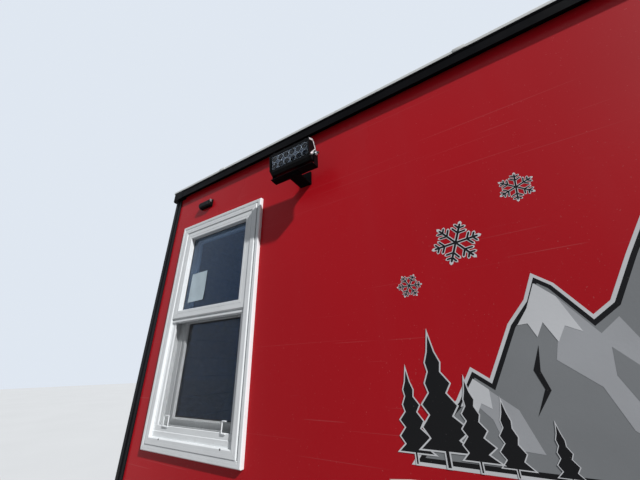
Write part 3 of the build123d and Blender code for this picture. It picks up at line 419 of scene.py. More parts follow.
class Finish:
    """A material that is built up in layers, from patterns on object coordinates.

    A pattern is a socket or the arguments of a noise: scale, detail, stretch and turn."""

    def __init__(self, name, roughness, **sockets):
        self.material = bpy.data.materials.new(name)
        self.material.use_nodes = True
        self.tree = self.material.node_tree
        self.shader = self.tree.nodes["Principled BSDF"]
        self.coords = self.add("TexCoord", output="Object")
        self.colour = None
        self.normal = None
        self.shader.inputs["Roughness"].default_value = roughness
        for key, value in sockets.items():
            self.shader.inputs[key.replace("_", " ")].default_value = value

    def add(self, kind, inputs=None, output=0, **settings):
        return node(self.tree, kind, inputs, **settings).outputs[output]

    def link(self, value, socket):
        self.tree.links.new(value, self.shader.inputs[socket])

    def noise(self, scale, detail=3.0, stretch=None, turned=(0, 0, 0), rough=0.5):
        where = self.coords
        if stretch:
            where = self.add("Mapping", {"Vector": where, "Rotation": turned, "Scale": stretch})
        inputs = {"Vector": where, "Scale": scale, "Detail": detail, "Roughness": rough}
        return self.add("TexNoise", inputs, "Fac")

    def cells(self, scale, output="Distance"):
        return self.add("TexVoronoi", {"Vector": self.coords, "Scale": scale}, output)

    def pattern(self, source):
        return self.noise(*source) if isinstance(source, tuple) else source

    def part(self, vector, axis):
        return self.add("SeparateXYZ", {"Vector": vector}, axis)

    def upward(self):
        return self.part(self.add("NewGeometry", output="Normal"), "Z")

    def span(self, value, low, high, to_low=0.0, to_high=1.0):
        inputs = {"Value": value, "From Min": low, "From Max": high, "To Min": to_low, "To Max": to_high}
        return self.add("MapRange", inputs, clamp=True)

    def both(self, first, second, operation="MULTIPLY"):
        return self.add("Math", {0: first, 1: second}, operation=operation, use_clamp=True)

    def mix(self, share, first, second):
        """Blends two colours."""
        inputs = {"Factor": share, 6: opaque(first), 7: opaque(second)}
        return self.add("Mix", inputs, 2, data_type="RGBA", blend_type="MIX")

    def paint(self, pattern, first, second, low=0.35, high=0.70):
        """The ground colour, which drifts between two tones."""
        self.colour = self.mix(self.span(self.pattern(pattern), low, high), first, second)
        self.link(self.colour, "Base Color")

    def cover(self, share, colour):
        self.colour = self.mix(share, self.colour, colour)
        self.link(self.colour, "Base Color")

    def layer(self, pattern, low, high, amount, colour):
        """Lays a colour where a pattern is strong."""
        self.cover(self.span(self.pattern(pattern), low, high, 0.0, amount), colour)

    def dust(self, colour, top, low, high, amount):
        """Lays road dust on upward faces and towards the ground."""
        patches = self.span(self.noise(7.0, 5.0), 0.35, 0.70)
        ground = self.span(self.part(self.coords, "Z"), high, low, 0.0, amount)
        upper = self.span(self.upward(), 0.35, 0.95, 0.0, top)
        self.cover(self.both(self.both(ground, upper, "MAXIMUM"), patches), colour)

    def rough(self, pattern, low, high, smoothest, roughest):
        self.link(self.span(self.pattern(pattern), low, high, smoothest, roughest), "Roughness")

    def relief(self, height, distance, strength=1.0):
        """Raises a pattern on top of the relief that is already there."""
        inputs = {"Height": self.pattern(height), "Distance": distance, "Strength": strength}
        if self.normal:
            inputs["Normal"] = self.normal
        self.normal = self.add("Bump", inputs, "Normal")
        self.link(self.normal, "Normal")


def wall_finish(paint):
    """Glossy red panel skin: slow drift, fine specks, hairline scratches, soft waves."""
    finish = Finish(
        "wall_red_gloss", 0.26, Specular_IOR_Level=0.05, Coat_Weight=0.18, Coat_Roughness=0.42
    )
    finish.paint((0.8, 2.0), paint.wall_deep, paint.wall, high=0.65)
    finish.layer((1.0, 4.0, (9.0, 9.0, 0.7)), 0.52, 0.75, 0.06, (0.40, 0.05, 0.06))
    finish.layer((230.0, 2.0), 0.71, 0.77, 0.35, (0.55, 0.20, 0.20))
    hairs = [
        finish.span(finish.noise(3.0, detail, stretch, (0.0, turned, 0.0)), 0.725, 0.74, 0.0, 0.12)
        for detail, stretch, turned in ((2.0, (0.5, 0.5, 46.0), 0.55), (1.0, (0.25, 0.25, 60.0), -0.12))
    ]
    finish.cover(finish.both(*hairs, "MAXIMUM"), (0.55, 0.24, 0.24))
    finish.dust(paint.dust, 0.0, 0.42, 0.80, 0.30)
    finish.rough((2.2, 4.0), 0.3, 0.7, 0.20, 0.32)
    finish.relief((1.6, 1.0), 0.010, 0.35)
    finish.relief((190.0, 2.0), 0.00025, 0.5)
    return finish.material


def vinyl_finish(paint):
    """Extruded white vinyl with faint drawing lines and patches of grime."""
    finish = Finish("white_vinyl_extruded", 0.34, Specular_IOR_Level=0.45)
    finish.paint((5.0, 3.0), paint.vinyl, shaded(paint.vinyl, 0.93), high=0.65)
    finish.layer((34.0, 5.0), 0.60, 0.78, 0.22, (0.42, 0.40, 0.36))
    finish.rough((60.0, 3.0), 0.3, 0.7, 0.28, 0.42)
    finish.relief((420.0, 2.0), 0.00012, 0.6)
    return finish.material


def trim_finish(paint):
    """Black coated trim with a light orange skin, chalky marks and dust on top."""
    finish = Finish(
        "black_trim_coated", 0.42, Specular_IOR_Level=0.03, Specular_Tint=(0.5, 0.5, 0.5, 1.0)
    )
    finish.paint((6.0, 4.0), paint.trim, shaded(paint.trim, 2.0))
    finish.layer((18.0, 3.0, (0.4, 0.4, 9.0)), 0.68, 0.76, 0.22, (0.03, 0.03, 0.035))
    finish.dust(paint.dust, 0.25, 0.42, 0.62, 0.35)
    finish.rough((25.0, 3.0), 0.3, 0.7, 0.34, 0.52)
    finish.relief((260.0, 2.0), 0.0002, 0.7)
    return finish.material


def post_finish(paint):
    """Charcoal corner post, a little more weathered than the trim."""
    finish = Finish("charcoal_post_weathered", 0.46, Specular_IOR_Level=0.08)
    streaks = finish.noise(9.0, 4.0, (1.0, 1.0, 0.15))
    finish.paint(streaks, shaded(paint.trim, 3.0), shaded(paint.trim, 6.0))
    finish.dust(paint.dust, 0.2, 0.42, 1.1, 0.30)
    finish.relief((300.0, 2.0), 0.0002, 0.6)
    return finish.material


def membrane_finish(paint):
    """White roof sheet: woven backing under the skin, water stains and scuffs."""
    finish = Finish("roof_membrane_white", 0.55)
    finish.colour = paint.membrane
    finish.layer(finish.noise(2.4, 6.0, rough=0.6), 0.48, 0.75, 0.55, (0.47, 0.46, 0.42))
    finish.layer((55.0, 3.0), 0.66, 0.76, 0.45, (0.30, 0.29, 0.26))
    finish.relief((2.6, 3.0), 0.006, 0.5)
    finish.relief(finish.cells(260.0), 0.0003, 0.5)
    return finish.material


def chassis_finish(paint):
    """Black chassis paint with chips, rust bloom and road dust."""
    finish = Finish("chassis_paint_black", 0.42)
    finish.paint((10.0, 4.0), paint.chassis, shaded(paint.chassis, 1.7))
    rust = finish.noise(38.0, 6.0, rough=0.65)
    finish.layer(rust, 0.64, 0.72, 0.85, (0.16, 0.055, 0.02))
    finish.dust(paint.dust, 0.30, 0.20, 0.75, 0.35)
    finish.rough(rust, 0.55, 0.72, 0.36, 0.80)
    finish.relief((180.0, 3.0), 0.0004, 0.6)
    return finish.material


def zinc_finish(name, colour, roughness):
    """Zinc plate with its crystal pattern, going dull."""
    finish = Finish(name, roughness, Metallic=1.0)
    grey = finish.add("RGBToBW", {"Color": finish.cells(70.0, "Color")})
    finish.paint(grey, shaded(colour, 0.78), colour, 0.2, 0.8)
    finish.layer((22.0, 5.0), 0.52, 0.72, 0.6, shaded(colour, 0.55))
    finish.rough(grey, 0.1, 0.9, roughness - 0.08, roughness + 0.14)
    finish.relief((140.0, 3.0), 0.0002, 0.4)
    return finish.material


def rubber_finish(paint):
    """Tyre rubber: matt black, scuffed, with dust on the tread and sidewall."""
    finish = Finish("tyre_rubber_scuffed", 0.78, Specular_IOR_Level=0.35)
    finish.paint((14.0, 5.0), (0.016, 0.016, 0.017), (0.034, 0.033, 0.032), 0.30)
    finish.layer(finish.noise(5.0, 6.0, rough=0.65), 0.42, 0.72, 0.42, shaded(paint.dust, 0.55))
    finish.relief((320.0, 4.0), 0.0003, 0.8)
    return finish.material


def wheel_finish(paint):
    """Silver wheel paint under clear lacquer, with brake dust and specks."""
    finish = Finish("wheel_paint_silver", 0.30, Metallic=0.55, Coat_Weight=0.5, Coat_Roughness=0.12)
    finish.paint((900.0, 1.0), paint.rim, shaded(paint.rim, 0.82), high=0.65)
    finish.layer(finish.noise(16.0, 6.0, rough=0.62), 0.46, 0.74, 0.55, shaded(paint.dust, 0.45))
    finish.relief((240.0, 2.0), 0.00015, 0.5)
    return finish.material


def wood_finish(name, light, dark, boards):
    """Wood with drawn-out grain. Boards is the board width, or nothing for sheets."""
    finish = Finish(name, 0.55, Specular_IOR_Level=0.35)
    finish.paint(finish.noise(5.0, 6.0, (0.9, 7.0, 7.0), rough=0.62), light, dark, 0.32, 0.68)
    finish.layer((26.0, 3.0, (0.6, 9.0, 9.0)), 0.58, 0.70, 0.55, shaded(dark, 0.6))
    finish.cover(finish.span(finish.cells(3.1), 0.035, 0.075, 0.85, 0.0), shaded(dark, 0.35))
    if boards:
        flat = finish.both(finish.add("Math", {0: finish.upward()}, operation="ABSOLUTE"), 1.0)
        inputs = {"Factor": flat, 2: finish.part(finish.coords, "Z"), 3: finish.part(finish.coords, "Y")}
        across = finish.add("Mix", inputs)
        share = finish.add("Math", {0: across, 1: boards}, operation="FLOORED_MODULO")
        board = finish.span(share, 0.0, boards * 0.04)
        finish.link(finish.mix(board, shaded(dark, 0.25), finish.colour), "Base Color")
        finish.relief(board, 0.003)
    grain = finish.noise(60.0, 4.0, (0.5, 6.0, 6.0))
    finish.relief(grain, 0.0004 if boards else 0.0005, 0.5)
    return finish.material


def plastic_finish(name, colour, roughness, spread=1.35, **sockets):
    """Moulded plastic with a fine leathery skin and slight fading."""
    finish = Finish(name, roughness, **sockets)
    finish.paint((12.0, 4.0), colour, shaded(colour, spread), 0.32)
    finish.layer((60.0, 4.0), 0.64, 0.76, 0.25, (0.25, 0.24, 0.22))
    finish.relief((360.0, 3.0), 0.0002, 0.6)
    return finish.material


def metal_finish(name, colour, roughness):
    """Brushed metal, its fine lines drawn out in one direction."""
    finish = Finish(name, roughness, Metallic=1.0)
    lines = finish.noise(90.0, 3.0, (1.0, 1.0, 18.0))
    finish.paint(lines, shaded(colour, 0.82), colour, 0.3)
    finish.rough(lines, 0.3, 0.7, roughness - 0.06, roughness + 0.10)
    finish.relief(lines, 0.0001, 0.5)
    return finish.material


def lamp_black_finish():
    """Anodised black housing: satin, with a dusty top."""
    finish = Finish("lamp_black_anodised", 0.40, Specular_IOR_Level=0.06)
    finish.paint((40.0, 4.0), (0.0018, 0.0018, 0.002), (0.0045, 0.0045, 0.005))
    top = finish.span(finish.upward(), 0.2, 0.95, 0.0, 0.35)
    finish.cover(finish.both(top, finish.span(finish.noise(30.0), 0.4, 0.6)), (0.14, 0.13, 0.12))
    finish.relief((900.0, 2.0), 0.0001, 0.8)
    return finish.material


def reflector_finish():
    """Vacuum plated reflector with a faint ripple, its plating painted dark and bluish as a painted
    reflection of dark ground and sky.
    """
    finish = Finish("reflector_painted_reflection", 0.16, Metallic=1.0)
    # Dark bluish plating colour: a painted reflection of dark ground and sky
    finish.paint((120.0, 2.0), (0.035, 0.045, 0.060), (0.085, 0.10, 0.125), high=0.65)
    finish.relief((260.0, 1.0), 0.0001, 0.3)
    return finish.material


def clear_finish(name, colour, roughness, ior, grime, **sockets):
    """Clear sheet with a film of grime in patches and drops."""
    finish = Finish(name, roughness, IOR=ior, Transmission_Weight=1.0, **sockets)
    finish.colour = colour
    finish.layer(finish.noise(9.0, 5.0, rough=0.6), 0.45, 0.80, grime, shaded(colour, 0.7))
    finish.rough((14.0, 5.0), 0.45, 0.80, roughness, roughness + grime * 0.5)
    finish.relief((3.0, 1.0), 0.002, 0.15)
    return finish.material


def red_lens_finish():
    """Red tail light lens, glossy, with depth."""
    finish = Finish(
        "tail_lens_red", 0.12, Coat_Weight=0.6, Coat_Roughness=0.05, Transmission_Weight=0.25
    )
    finish.paint(finish.cells(220.0), (0.42, 0.006, 0.006), (0.20, 0.003, 0.004), 0.0, 0.6)
    finish.relief(finish.cells(220.0), 0.0006, 0.6)
    return finish.material


def film_finish(name, colour):
    """Cut vinyl film, glossy like the wall, with tiny bubbles."""
    finish = Finish(name, 0.30, Specular_IOR_Level=0.14)
    finish.paint((6.0, 4.0), colour, shaded(colour, 0.9))
    finish.layer((230.0, 2.0), 0.71, 0.78, 0.15, (0.40, 0.38, 0.37))
    finish.relief((150.0, 2.0), 0.0002, 0.5)
    return finish.material


def seen_share(tree):
    """One for what is seen straight, in a mirror or through glass, and nothing for soft light."""
    path = node(tree, "LightPath")
    share = path.outputs["Is Camera Ray"]
    for name in ("Is Glossy Ray", "Is Transmission Ray"):
        share = node(tree, "Math", {0: share, 1: path.outputs[name]}, operation="MAXIMUM").outputs[0]
    return share


def floor_finish(colour, bounce):
    """Pale studio floor that casts little light back on the hut."""
    finish = Finish(
        "studio_floor", 0.85, Specular_IOR_Level=0.03, Specular_Tint=(0.3, 0.3, 0.3, 1.0)
    )
    finish.paint((0.5, 5.0), colour, shaded(colour, 0.965), 0.3)
    finish.link(finish.mix(seen_share(finish.tree), bounce, finish.colour), "Base Color")
    finish.relief((60.0, 4.0), 0.001, 0.2)
    return finish.material


FINISHES = {}


def make_finishes(paint):
    """Makes every finish once, by name."""
    FINISHES.update(
        wall=wall_finish(paint),
        vinyl=vinyl_finish(paint),
        trim=trim_finish(paint),
        post=post_finish(paint),
        membrane=membrane_finish(paint),
        chassis=chassis_finish(paint),
        zinc=zinc_finish("zinc_plate_dull", (0.52, 0.53, 0.54), 0.42),
        bright=zinc_finish("zinc_plate_bright", (0.72, 0.73, 0.74), 0.26),
        rubber=rubber_finish(paint),
        wheel=wheel_finish(paint),
        well=plastic_finish("well_liner_black", (0.018, 0.018, 0.019), 0.6),
        lining=wood_finish("pine_boards", (0.50, 0.30, 0.14), (0.30, 0.155, 0.06), 0.092),
        deck=wood_finish("floor_plywood", (0.42, 0.30, 0.17), (0.27, 0.17, 0.085), 0.0),
        lid=plastic_finish("lid_plastic_grey", (0.10, 0.105, 0.11), 0.5),
        door=plastic_finish("door_skin_white", (0.72, 0.735, 0.75), 0.38, 0.95),
        satin=metal_finish("satin_nickel", (0.60, 0.58, 0.54), 0.28),
        marker=plastic_finish(
            "marker_smoked_black", (0.0025, 0.0022, 0.0022), 0.30, Specular_IOR_Level=0.06
        ),
        # Grey for the markers' right ends: a painted highlight of the sunlit end
        marker_end=plastic_finish("marker_end_grey", (0.16, 0.165, 0.17), 0.45, 0.85),
        cell_rim=plastic_finish("cell_rim_grey", (0.16, 0.18, 0.20), 0.30, 1.5),
        paper=plastic_finish(
            "blank_sheet_pale", (0.50, 0.60, 0.66), 0.75, 0.85, Specular_IOR_Level=0.2
        ),
        # Bright strip on the lamp's end plate: a painted highlight of the sun on its bevel
        bare_edge=plastic_finish("bare_edge_bright", (0.74, 0.75, 0.76), 0.30, 0.9, Metallic=0.15),
        tail=red_lens_finish(),
        bracket=trim_finish(paint),
        lamp=lamp_black_finish(),
        reflector=reflector_finish(),
        # The blue specular tint paints a blue sky reflection into the panes
        glass=clear_finish(
            "window_glass_tint_and_sky_reflection", paint.glass, 0.02, 1.44, 0.06, Specular_Tint=(0.22, 0.50, 1.0, 1.0)
        ),
        lens=clear_finish("lamp_lens_clear", (0.92, 0.95, 0.98), 0.03, 1.20, 0.05),
        wire=plastic_finish("screen_wire_charcoal", (0.022, 0.022, 0.023), 0.55),
        chip=plastic_finish("led_chip_yellow", (0.62, 0.50, 0.10), 0.35),
        # Dark discs for the drain holes: painted shade where the holes are
        shadow=plastic_finish("drain_hole_painted_shade", (0.008, 0.008, 0.009), 0.7),
        film_white=film_finish("film_white", (0.68, 0.69, 0.71)),
        film_black=film_finish("film_black", (0.006, 0.006, 0.007)),
        film_grey=film_finish("film_grey", (0.24, 0.25, 0.26)),
        film_pale=film_finish("film_pale_grey", (0.42, 0.43, 0.45)),
    )


# The frame's parts by finish
NODE_FINISHES = {
    "chassis": "main_rails rim_tubes cross_members drawbar hitch_coupler swing_arms",
    "zinc": "tongue_jack jack_leg",
    "rubber": "tyres",
    "wheel": "wheel_rims",
    "well": "wheel_wells",
    "trim": "wheel_arch_trims roof_edge_rails roof_corner_caps bottom_trim",
    "post": "corner_posts",
    "deck": "floor_deck",
    "vinyl": "hole_collars window_casings window_frames window_sashes screen_frames door_frame",
    "lid": "hole_lids",
    "wall": "street_side_wall curb_side_wall front_wall rear_wall roof_panel",
    "lining": "interior_lining",
    "membrane": "roof_membrane",
    "wire": "insect_screens",
    "glass": "window_glass",
    "door": "entrance_door",
    "satin": "door_hardware",
    "marker": "marker_lights",
    "tail": "tail_lights",
    "bracket": "lamp_brackets",
    "lamp": " ".join(f"{name}_housing" for name in LAMPS),
    "reflector": " ".join(f"{name}_optics" for name in LAMPS),
}


# Operators
class HUT_OT_finishes(bpy.types.Operator):
    """Give every part of the frame its finish"""

    bl_idname = "hut.finishes"
    bl_label = "Finishes"

    def execute(self, context):
        make_finishes(context.scene.hut_paint)
        for finish, members in NODE_FINISHES.items():
            for member in members.split():
                materials = nodes[member].data.materials
                materials.clear()
                materials.append(FINISHES[finish])
        bare = [name for name, part in nodes.items() if not part.data.materials]
        if bare:
            raise RuntimeError(f"no finish for {bare}")
        return {"FINISHED"}


# The clear opening of a window: half its width and height, and the meeting rail's edges
Opening = namedtuple("Opening", "half high rail_low rail_high")


class HUT_OT_windows(bpy.types.Operator):
    """Build the mitred casings and frames, the screens and the small window fittings"""

    bl_idname = "hut.windows"
    bl_label = "Windows"

    def execute(self, context):
        window = context.scene.hut_window
        places, height = window_places(window)
        border = window.casing_band + window.groove + window.face_band + window.step
        opening = Opening(
            window.width / 2 - border,
            height / 2 - border,
            window.rail_offset - window.rail_height / 2,
            window.rail_offset + window.rail_height / 2,
        )
        self.casings(window, places, height)
        self.frames(window, places, height, opening)
        self.screens(window, places, opening)
        self.loops_and_catches(places, opening)
        self.drain_holes(window, places, opening)
        self.gaskets(window, places, opening)
        self.taped_sheet(places[0])
        return {"FINISHED"}

    def casings(self, window, places, height):
        """Raised outer strip with its groove, which is filled along the foot."""
        bm = bmesh.new()
        band = window.casing_band
        groove_end = band + window.groove
        floor = -window.groove_proud
        section = moulded(0, band, window.casing_proud, window.casing_chamfer, 0, window.line, 0.5)
        section[-1:] = [(band, floor), (groove_end, floor), (groove_end, 0)]
        mitred_frame(bm, section, window.width, height, window.mitre_gap)
        half = window.width / 2 - band + 0.0005
        foot = band - height / 2
        low = (-0.0159, foot - 0.0032)
        high = (-0.004, foot + window.groove - 0.0001)
        add_strip(bm, half, low, high, 0.0006, 1)
        piece = make_piece("window_casing_bars", bm, "vinyl", places)
        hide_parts("window_casings")

    def frames(self, window, places, height, opening):
        """Frame with its step, its room trim, the meeting rail and all inner bars."""
        bm = bmesh.new()
        start = window.casing_band + window.groove
        end = start + window.face_band
        step_end = end + window.step
        section = moulded(
            start, end, window.face_proud, window.face_chamfer, window.frame_back, window.line, 0.56
        )
        section[-1:] = [
            (end, -window.step_proud), (end + window.step * 0.8, -window.step_proud),
            (step_end, -window.step_proud * 0.8), (step_end, window.frame_back),
        ]
        outer = start - window.room_band
        room = [(outer, 0.052), (outer, 0.060), (outer + 0.002, 0.062), (end, 0.062), (end, 0.052)]
        for profile in (section, room):
            mitred_frame(bm, profile, window.width, height, window.mitre_gap)
        half = opening.half + window.step
        low = opening.rail_low
        high = opening.rail_high
        # The meeting rail's core, its face, the lip under it and the fine line along its top
        for inset, front, foot, back, top, rounding in (
            (0, -0.005, low, 0.030, high - 0.002, 0),
            (0, -0.012, low + 0.005, 0.002, high, 0.0028),
            (0.001, -0.0105, low - 0.010, -0.0003, low + 0.0008, 0.002),
            (0.004, -0.0128, high - 0.0076, -0.0115, high - 0.0054, 0.0004),
        ):
            add_strip(bm, half - inset, (front, foot), (back, top), rounding, 1)
        self.upper_bars(bm, window, opening)
        self.screen_track(bm, opening)
        self.sash_bars(bm, window, opening)
        piece = make_piece("window_frame_bars", bm, "vinyl", places)
        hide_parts("window_frames")

    def upper_bars(self, bm, window, opening):
        """Bars round the upper light, before and behind its glass. Their foot lies in the rail."""
        proud = window.upper_proud
        band = window.upper_band
        before = [
            (-0.0045, 0.008), (-0.0045, 0.0015 - proud), (-0.0030, -proud), (band * 0.52, -proud),
            (band * 0.55, 0.0012 - proud), (band * 0.58, -proud), (band - 0.0015, -proud),
            (band, 0.0015 - proud), (band, 0.008),
        ]
        behind = [
            (0, 0.0122), (band - 0.001, 0.0122), (band - 0.001, 0.042), (band + 0.008, 0.044),
            (band + 0.009, 0.045), (band + 0.009, 0.056), (0, 0.056),
        ]
        for profile in (before, behind):
            low = opening.rail_high - band
            add_frame(bm, profile, opening.half, low, opening.high, window.mitre_gap)

    def sash_bars(self, bm, window, opening):
        """Inner bars of the lower sash, before its glass."""
        front = 0.0308
        back = 0.0408
        inner = window.sash_inner
        profile = [
            (-0.001, back), (-0.001, 0.032), (0.001, front), (inner - 0.005, front), (inner, 0.035),
            (inner, back),
        ]
        band = window.sash_band
        half = opening.half - band
        add_frame(bm, profile, half, band - opening.high, opening.rail_high - band, window.mitre_gap)

    def screen_track(self, bm, opening):
        """Raised sill and side strips that hold the screen."""
        side = 0.018
        sill = 0.0345
        lap = 0.001
        front = -0.0045
        back = -0.0002
        half = opening.half + lap
        foot = -opening.high - lap
        top = sill - opening.high
        add_strip(bm, half, (front, foot), (back, top), 0.0015, 1)
        add_strip(bm, half, (-0.0062, foot), (-0.0030, sill * 0.42 - opening.high), 0.0010, 1)
        for end in (-1, 1):
            left, right = sorted((end * half, end * (opening.half - side)))
            add_box(bm, (left, front, top), (right, back, opening.rail_low - 0.0095), 0.0015, 1)

    def screens(self, window, places, opening):
        """Woven screen of crossed wires, in the plane of the frame's sheet."""
        bm = bmesh.new()
        edge = 0.013
        plane = 0.0045
        half = opening.half - edge
        low = -opening.high + edge
        high = opening.rail_low - edge
        wire = window.wire / 2
        front = plane - wire
        back = plane + wire
        for number in range(1, int(2 * half / window.wire_pitch)):
            x = -half + number * window.wire_pitch
            add_box(bm, (x - wire, front, low), (x + wire, back, high))
        for number in range(1, int((high - low) / window.wire_pitch)):
            z = low + number * window.wire_pitch
            add_strip(bm, half, (front, z - wire), (back, z + wire))
        piece = make_piece("insect_screen_wires", bm, "wire", places, outward=False)
        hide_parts("insect_screens")

    def loops_and_catches(self, places, opening):
        """Pull loops of the screen, the right one cut short at the frame, and the sash's catches."""
        bm = bmesh.new()
        low = -opening.high + 0.030
        high = low + 0.041
        thick = 0.004
        leg = 0.0155
        end = 0.0175
        for x, legs, left, right in ((-0.155, (-leg, leg), -end, end), (0.185, (-leg,), -end, thick)):
            for offset in legs:
                middle = x + offset
                add_box(bm, (middle - 0.002, -0.0085, low), (middle + 0.002, -0.0045, high), 0.0012)
            for z in (low, high - thick):
                add_box(bm, (x + left, -0.0088, z), (x + right, -0.0040, z + thick), 0.0012)
        top = opening.rail_high
        for x in (-0.10, 0.10):
            add_box(bm, (x - 0.022, 0.0555, top - 0.016), (x + 0.022, 0.063, top - 0.004), 0.002)
        make_piece("screen_pull_loops", bm, "vinyl", places)

    def drain_holes(self, window, places, opening):
        """Dark discs just before the frame's face, near its foot: painted shade standing in for the drain
        holes.
        """
        bm = bmesh.new()
        height = -opening.high - window.step - window.face_band * 0.12
        for x in (-0.166, 0.184):
            add_rod(bm, Matrix.Translation((x, -0.0176, height)) @ FORWARD, 0.0031, 0.00055, 16)
        make_piece("window_drain_holes", bm, "shadow", places)

    def gaskets(self, window, places, opening):
        """Thin black bead round both panes."""
        bm = bmesh.new()
        section = [(0, 0.0072), (0.0022, 0.0064), (0.0030, 0.0078), (0.0030, 0.0080), (0, 0.0080)]
        upper = window.upper_band
        lower = window.sash_band + window.sash_inner
        half = opening.half
        add_frame(bm, section, half - upper, opening.rail_high, opening.high - upper, 0.0)
        add_frame(bm, section, half - lower, lower - opening.high, opening.rail_high - lower, 0.0, 0.033)
        make_piece("glass_gaskets", bm, "rubber", places)

    def taped_sheet(self, place):
        """Blank sheet that is taped to the upper glass, its lower end curling off."""
        width = 0.110
        height = 0.141
        bm = bmesh.new()
        bmesh.ops.create_grid(bm, x_segments=8, y_segments=12, size=0.5)
        for vert in bm.verts:
            x, z = vert.co.x, vert.co.y
            curl = 0.012 * max(0.0, -0.1 - z) ** 2 + 0.0005 * math.sin(9.0 * x + 4.0 * z)
            vert.co = (-0.112 + width * x, 0.0070 - curl, 0.150 + height * z + 0.002 * x)
        bmesh.ops.solidify(bm, geom=bm.faces, thickness=0.0002)
        make_piece("blank_sheet", bm, "paper", [place], smooth=60.0)


# Corners of the bright strip on a light bar's right end plate, a painted highlight of the sun on its bevel:
# depth and height
PLATE_CONTOUR = [(-0.0345, 0.0505), (-0.0100, 0.0600), (0.0058, 0.0240), (-0.0310, -0.0175)]


class HUT_OT_light_bars(bpy.types.Operator):
    """Fill the light bars with reflector bowls, chips, clear fronts and screws"""

    bl_idname = "hut.light_bars"
    bl_label = "Light bars"

    def execute(self, context):
        lamp = context.scene.hut_lamp
        for name in LAMPS:
            place = lamp_place(name, lamp.tilt)
            self.reflector(lamp, name, place)
            self.rims(lamp, name, place)
            self.chips(lamp, name, place)
            self.front(lamp, name, place)
            self.screws(lamp, name, place)
            self.paint_glint(name, place)
            self.strap_fittings(name)
        return {"FINISHED"}

    def cells(self, lamp):
        """The middle and the half size of every reflector cell."""
        half_x = lamp.half_span / lamp.columns
        half_z = (lamp.high - lamp.low) / lamp.rows / 2
        for column in range(lamp.columns):
            for row in range(lamp.rows):
                x = -lamp.half_span + half_x * (2 * column + 1)
                yield x, lamp.low + half_z * (2 * row + 1), half_x, half_z

    def reflector(self, lamp, name, place):
        """Each cell is a faceted bowl that grows out to a square mouth."""
        bm = bmesh.new()
        front = lamp.lens - lamp.face
        rings = 6
        throat = 0.0042
        flat = 0.001
        for x, z, half_x, half_z in self.cells(lamp):
            seat = Matrix.Translation((x, front + lamp.bowl_depth, z)) @ FORWARD
            made = bmesh.ops.create_circle(bm, cap_ends=True, segments=16, radius=throat)
            verts = made["verts"]
            bmesh.ops.transform(bm, matrix=seat, verts=verts)
            edges = list({edge for vert in verts for edge in vert.link_edges})
            for ring in range(1, rings + 1):
                verts, edges = grown(bm, edges)
                share = ring / rings
                depth = front + lamp.bowl_depth * (1 - share**2)
                reach = throat + (half_x - throat - flat) * share
                for vert in verts:
                    angle = math.atan2(vert.co.z - z, vert.co.x - x)
                    vert.co = (x + reach * math.cos(angle), depth, z + reach * math.sin(angle))
            for vert in grown(bm, edges)[0]:
                across = vert.co.x - x
                rise = vert.co.z - z
                stretch = min(half_x / max(abs(across), 1e-6), half_z / max(abs(rise), 1e-6))
                vert.co = (x + across * stretch, front, z + rise * stretch)
        bmesh.ops.remove_doubles(bm, verts=bm.verts, dist=1e-5)
        skirt, _ = grown(bm, [edge for edge in bm.edges if edge.is_boundary])
        bmesh.ops.translate(bm, vec=(0, lamp.bowl_depth + 0.001, 0), verts=skirt)
        bmesh.ops.holes_fill(bm, edges=[edge for edge in bm.edges if edge.is_boundary], sides=0)
        bowls = f"{name}_reflector_bowls"
        piece = make_piece(bowls, bm, "reflector", [place], name, smooth=8.0)
        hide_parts(f"{name}_optics")

    def rims(self, lamp, name, place):
        """Round rim at the mouth of each bowl."""
        unit = bmesh.new()
        radius = lamp.half_span / lamp.columns - 0.0010
        front = lamp.lens - lamp.face
        inner = radius - 0.0006
        outer = radius + 0.0008
        section = ((inner, -0.0003), (outer, -0.0003), (outer, 0.0008), (inner, 0.0008))
        loop = [unit.verts.new((reach, front + depth, 0)) for reach, depth in section]
        edges = [unit.edges.new(pair) for pair in zip(loop, loop[1:] + loop[:1])]
        full = 2 * math.pi
        bmesh.ops.spin(
            unit, geom=loop + edges, cent=(0, 0, 0), axis=(0, 1, 0), angle=full, steps=28, use_merge=True
        )
        places = [place @ Matrix.Translation((x, 0, z)) for x, z, _, _ in self.cells(lamp)]
        make_piece(f"{name}_cell_rims", unit, "cell_rim", places, name)

    def chips(self, lamp, name, place):
        """A light emitting chip on the bottom of each bowl."""
        bm = bmesh.new()
        bottom = lamp.lens - lamp.face + lamp.bowl_depth
        front = bottom - 0.0012
        back = bottom + 0.0002
        half = lamp.led / 2
        for x, z, _, _ in self.cells(lamp):
            add_box(bm, (x - half, front, z - half), (x + half, back, z + half), 0.0003)
        make_piece(f"{name}_chips", bm, "chip", [place], name)

    def front(self, lamp, name, place):
        """Clear front in its opening."""
        bm = bmesh.new()
        back = lamp.lens - lamp.face - 0.0004
        low = (back - lamp.lens + 0.001, lamp.low)
        add_strip(bm, lamp.half_span, low, (back, lamp.high), 0.0004)
        make_piece(f"{name}_lens", bm, "lens", [place], name)

    def screws(self, lamp, name, place):
        """Bezel screws on its chamfers, and plate screws in both end plates."""
        bm = bmesh.new()
        half = lamp.bezel_chamfer / 2
        for side, z in ((-1, lamp.bezel_low + half), (1, lamp.bezel_high - half)):
            for x in (-0.0765, -0.0255, 0.0255, 0.0765):
                seat = Matrix.Translation((x, half - lamp.face, z)) @ facing((0, -1, side))
                add_rod(bm, seat, lamp.screw, 0.0016, 12, bevel=0.0005)
        plate = 0.0979
        for side in (-1, 1):
            for y, z in ((-0.028, 0.044), (-0.028, -0.019), (0.0, 0.043), (0.0, -0.018)):
                seat = Matrix.Translation((side * plate, y, z)) @ facing((side, 0, 0))
                add_rod(bm, seat, lamp.screw, 0.0018, 12, bevel=0.0005)
        make_piece(f"{name}_screws", bm, "post", [place], name)

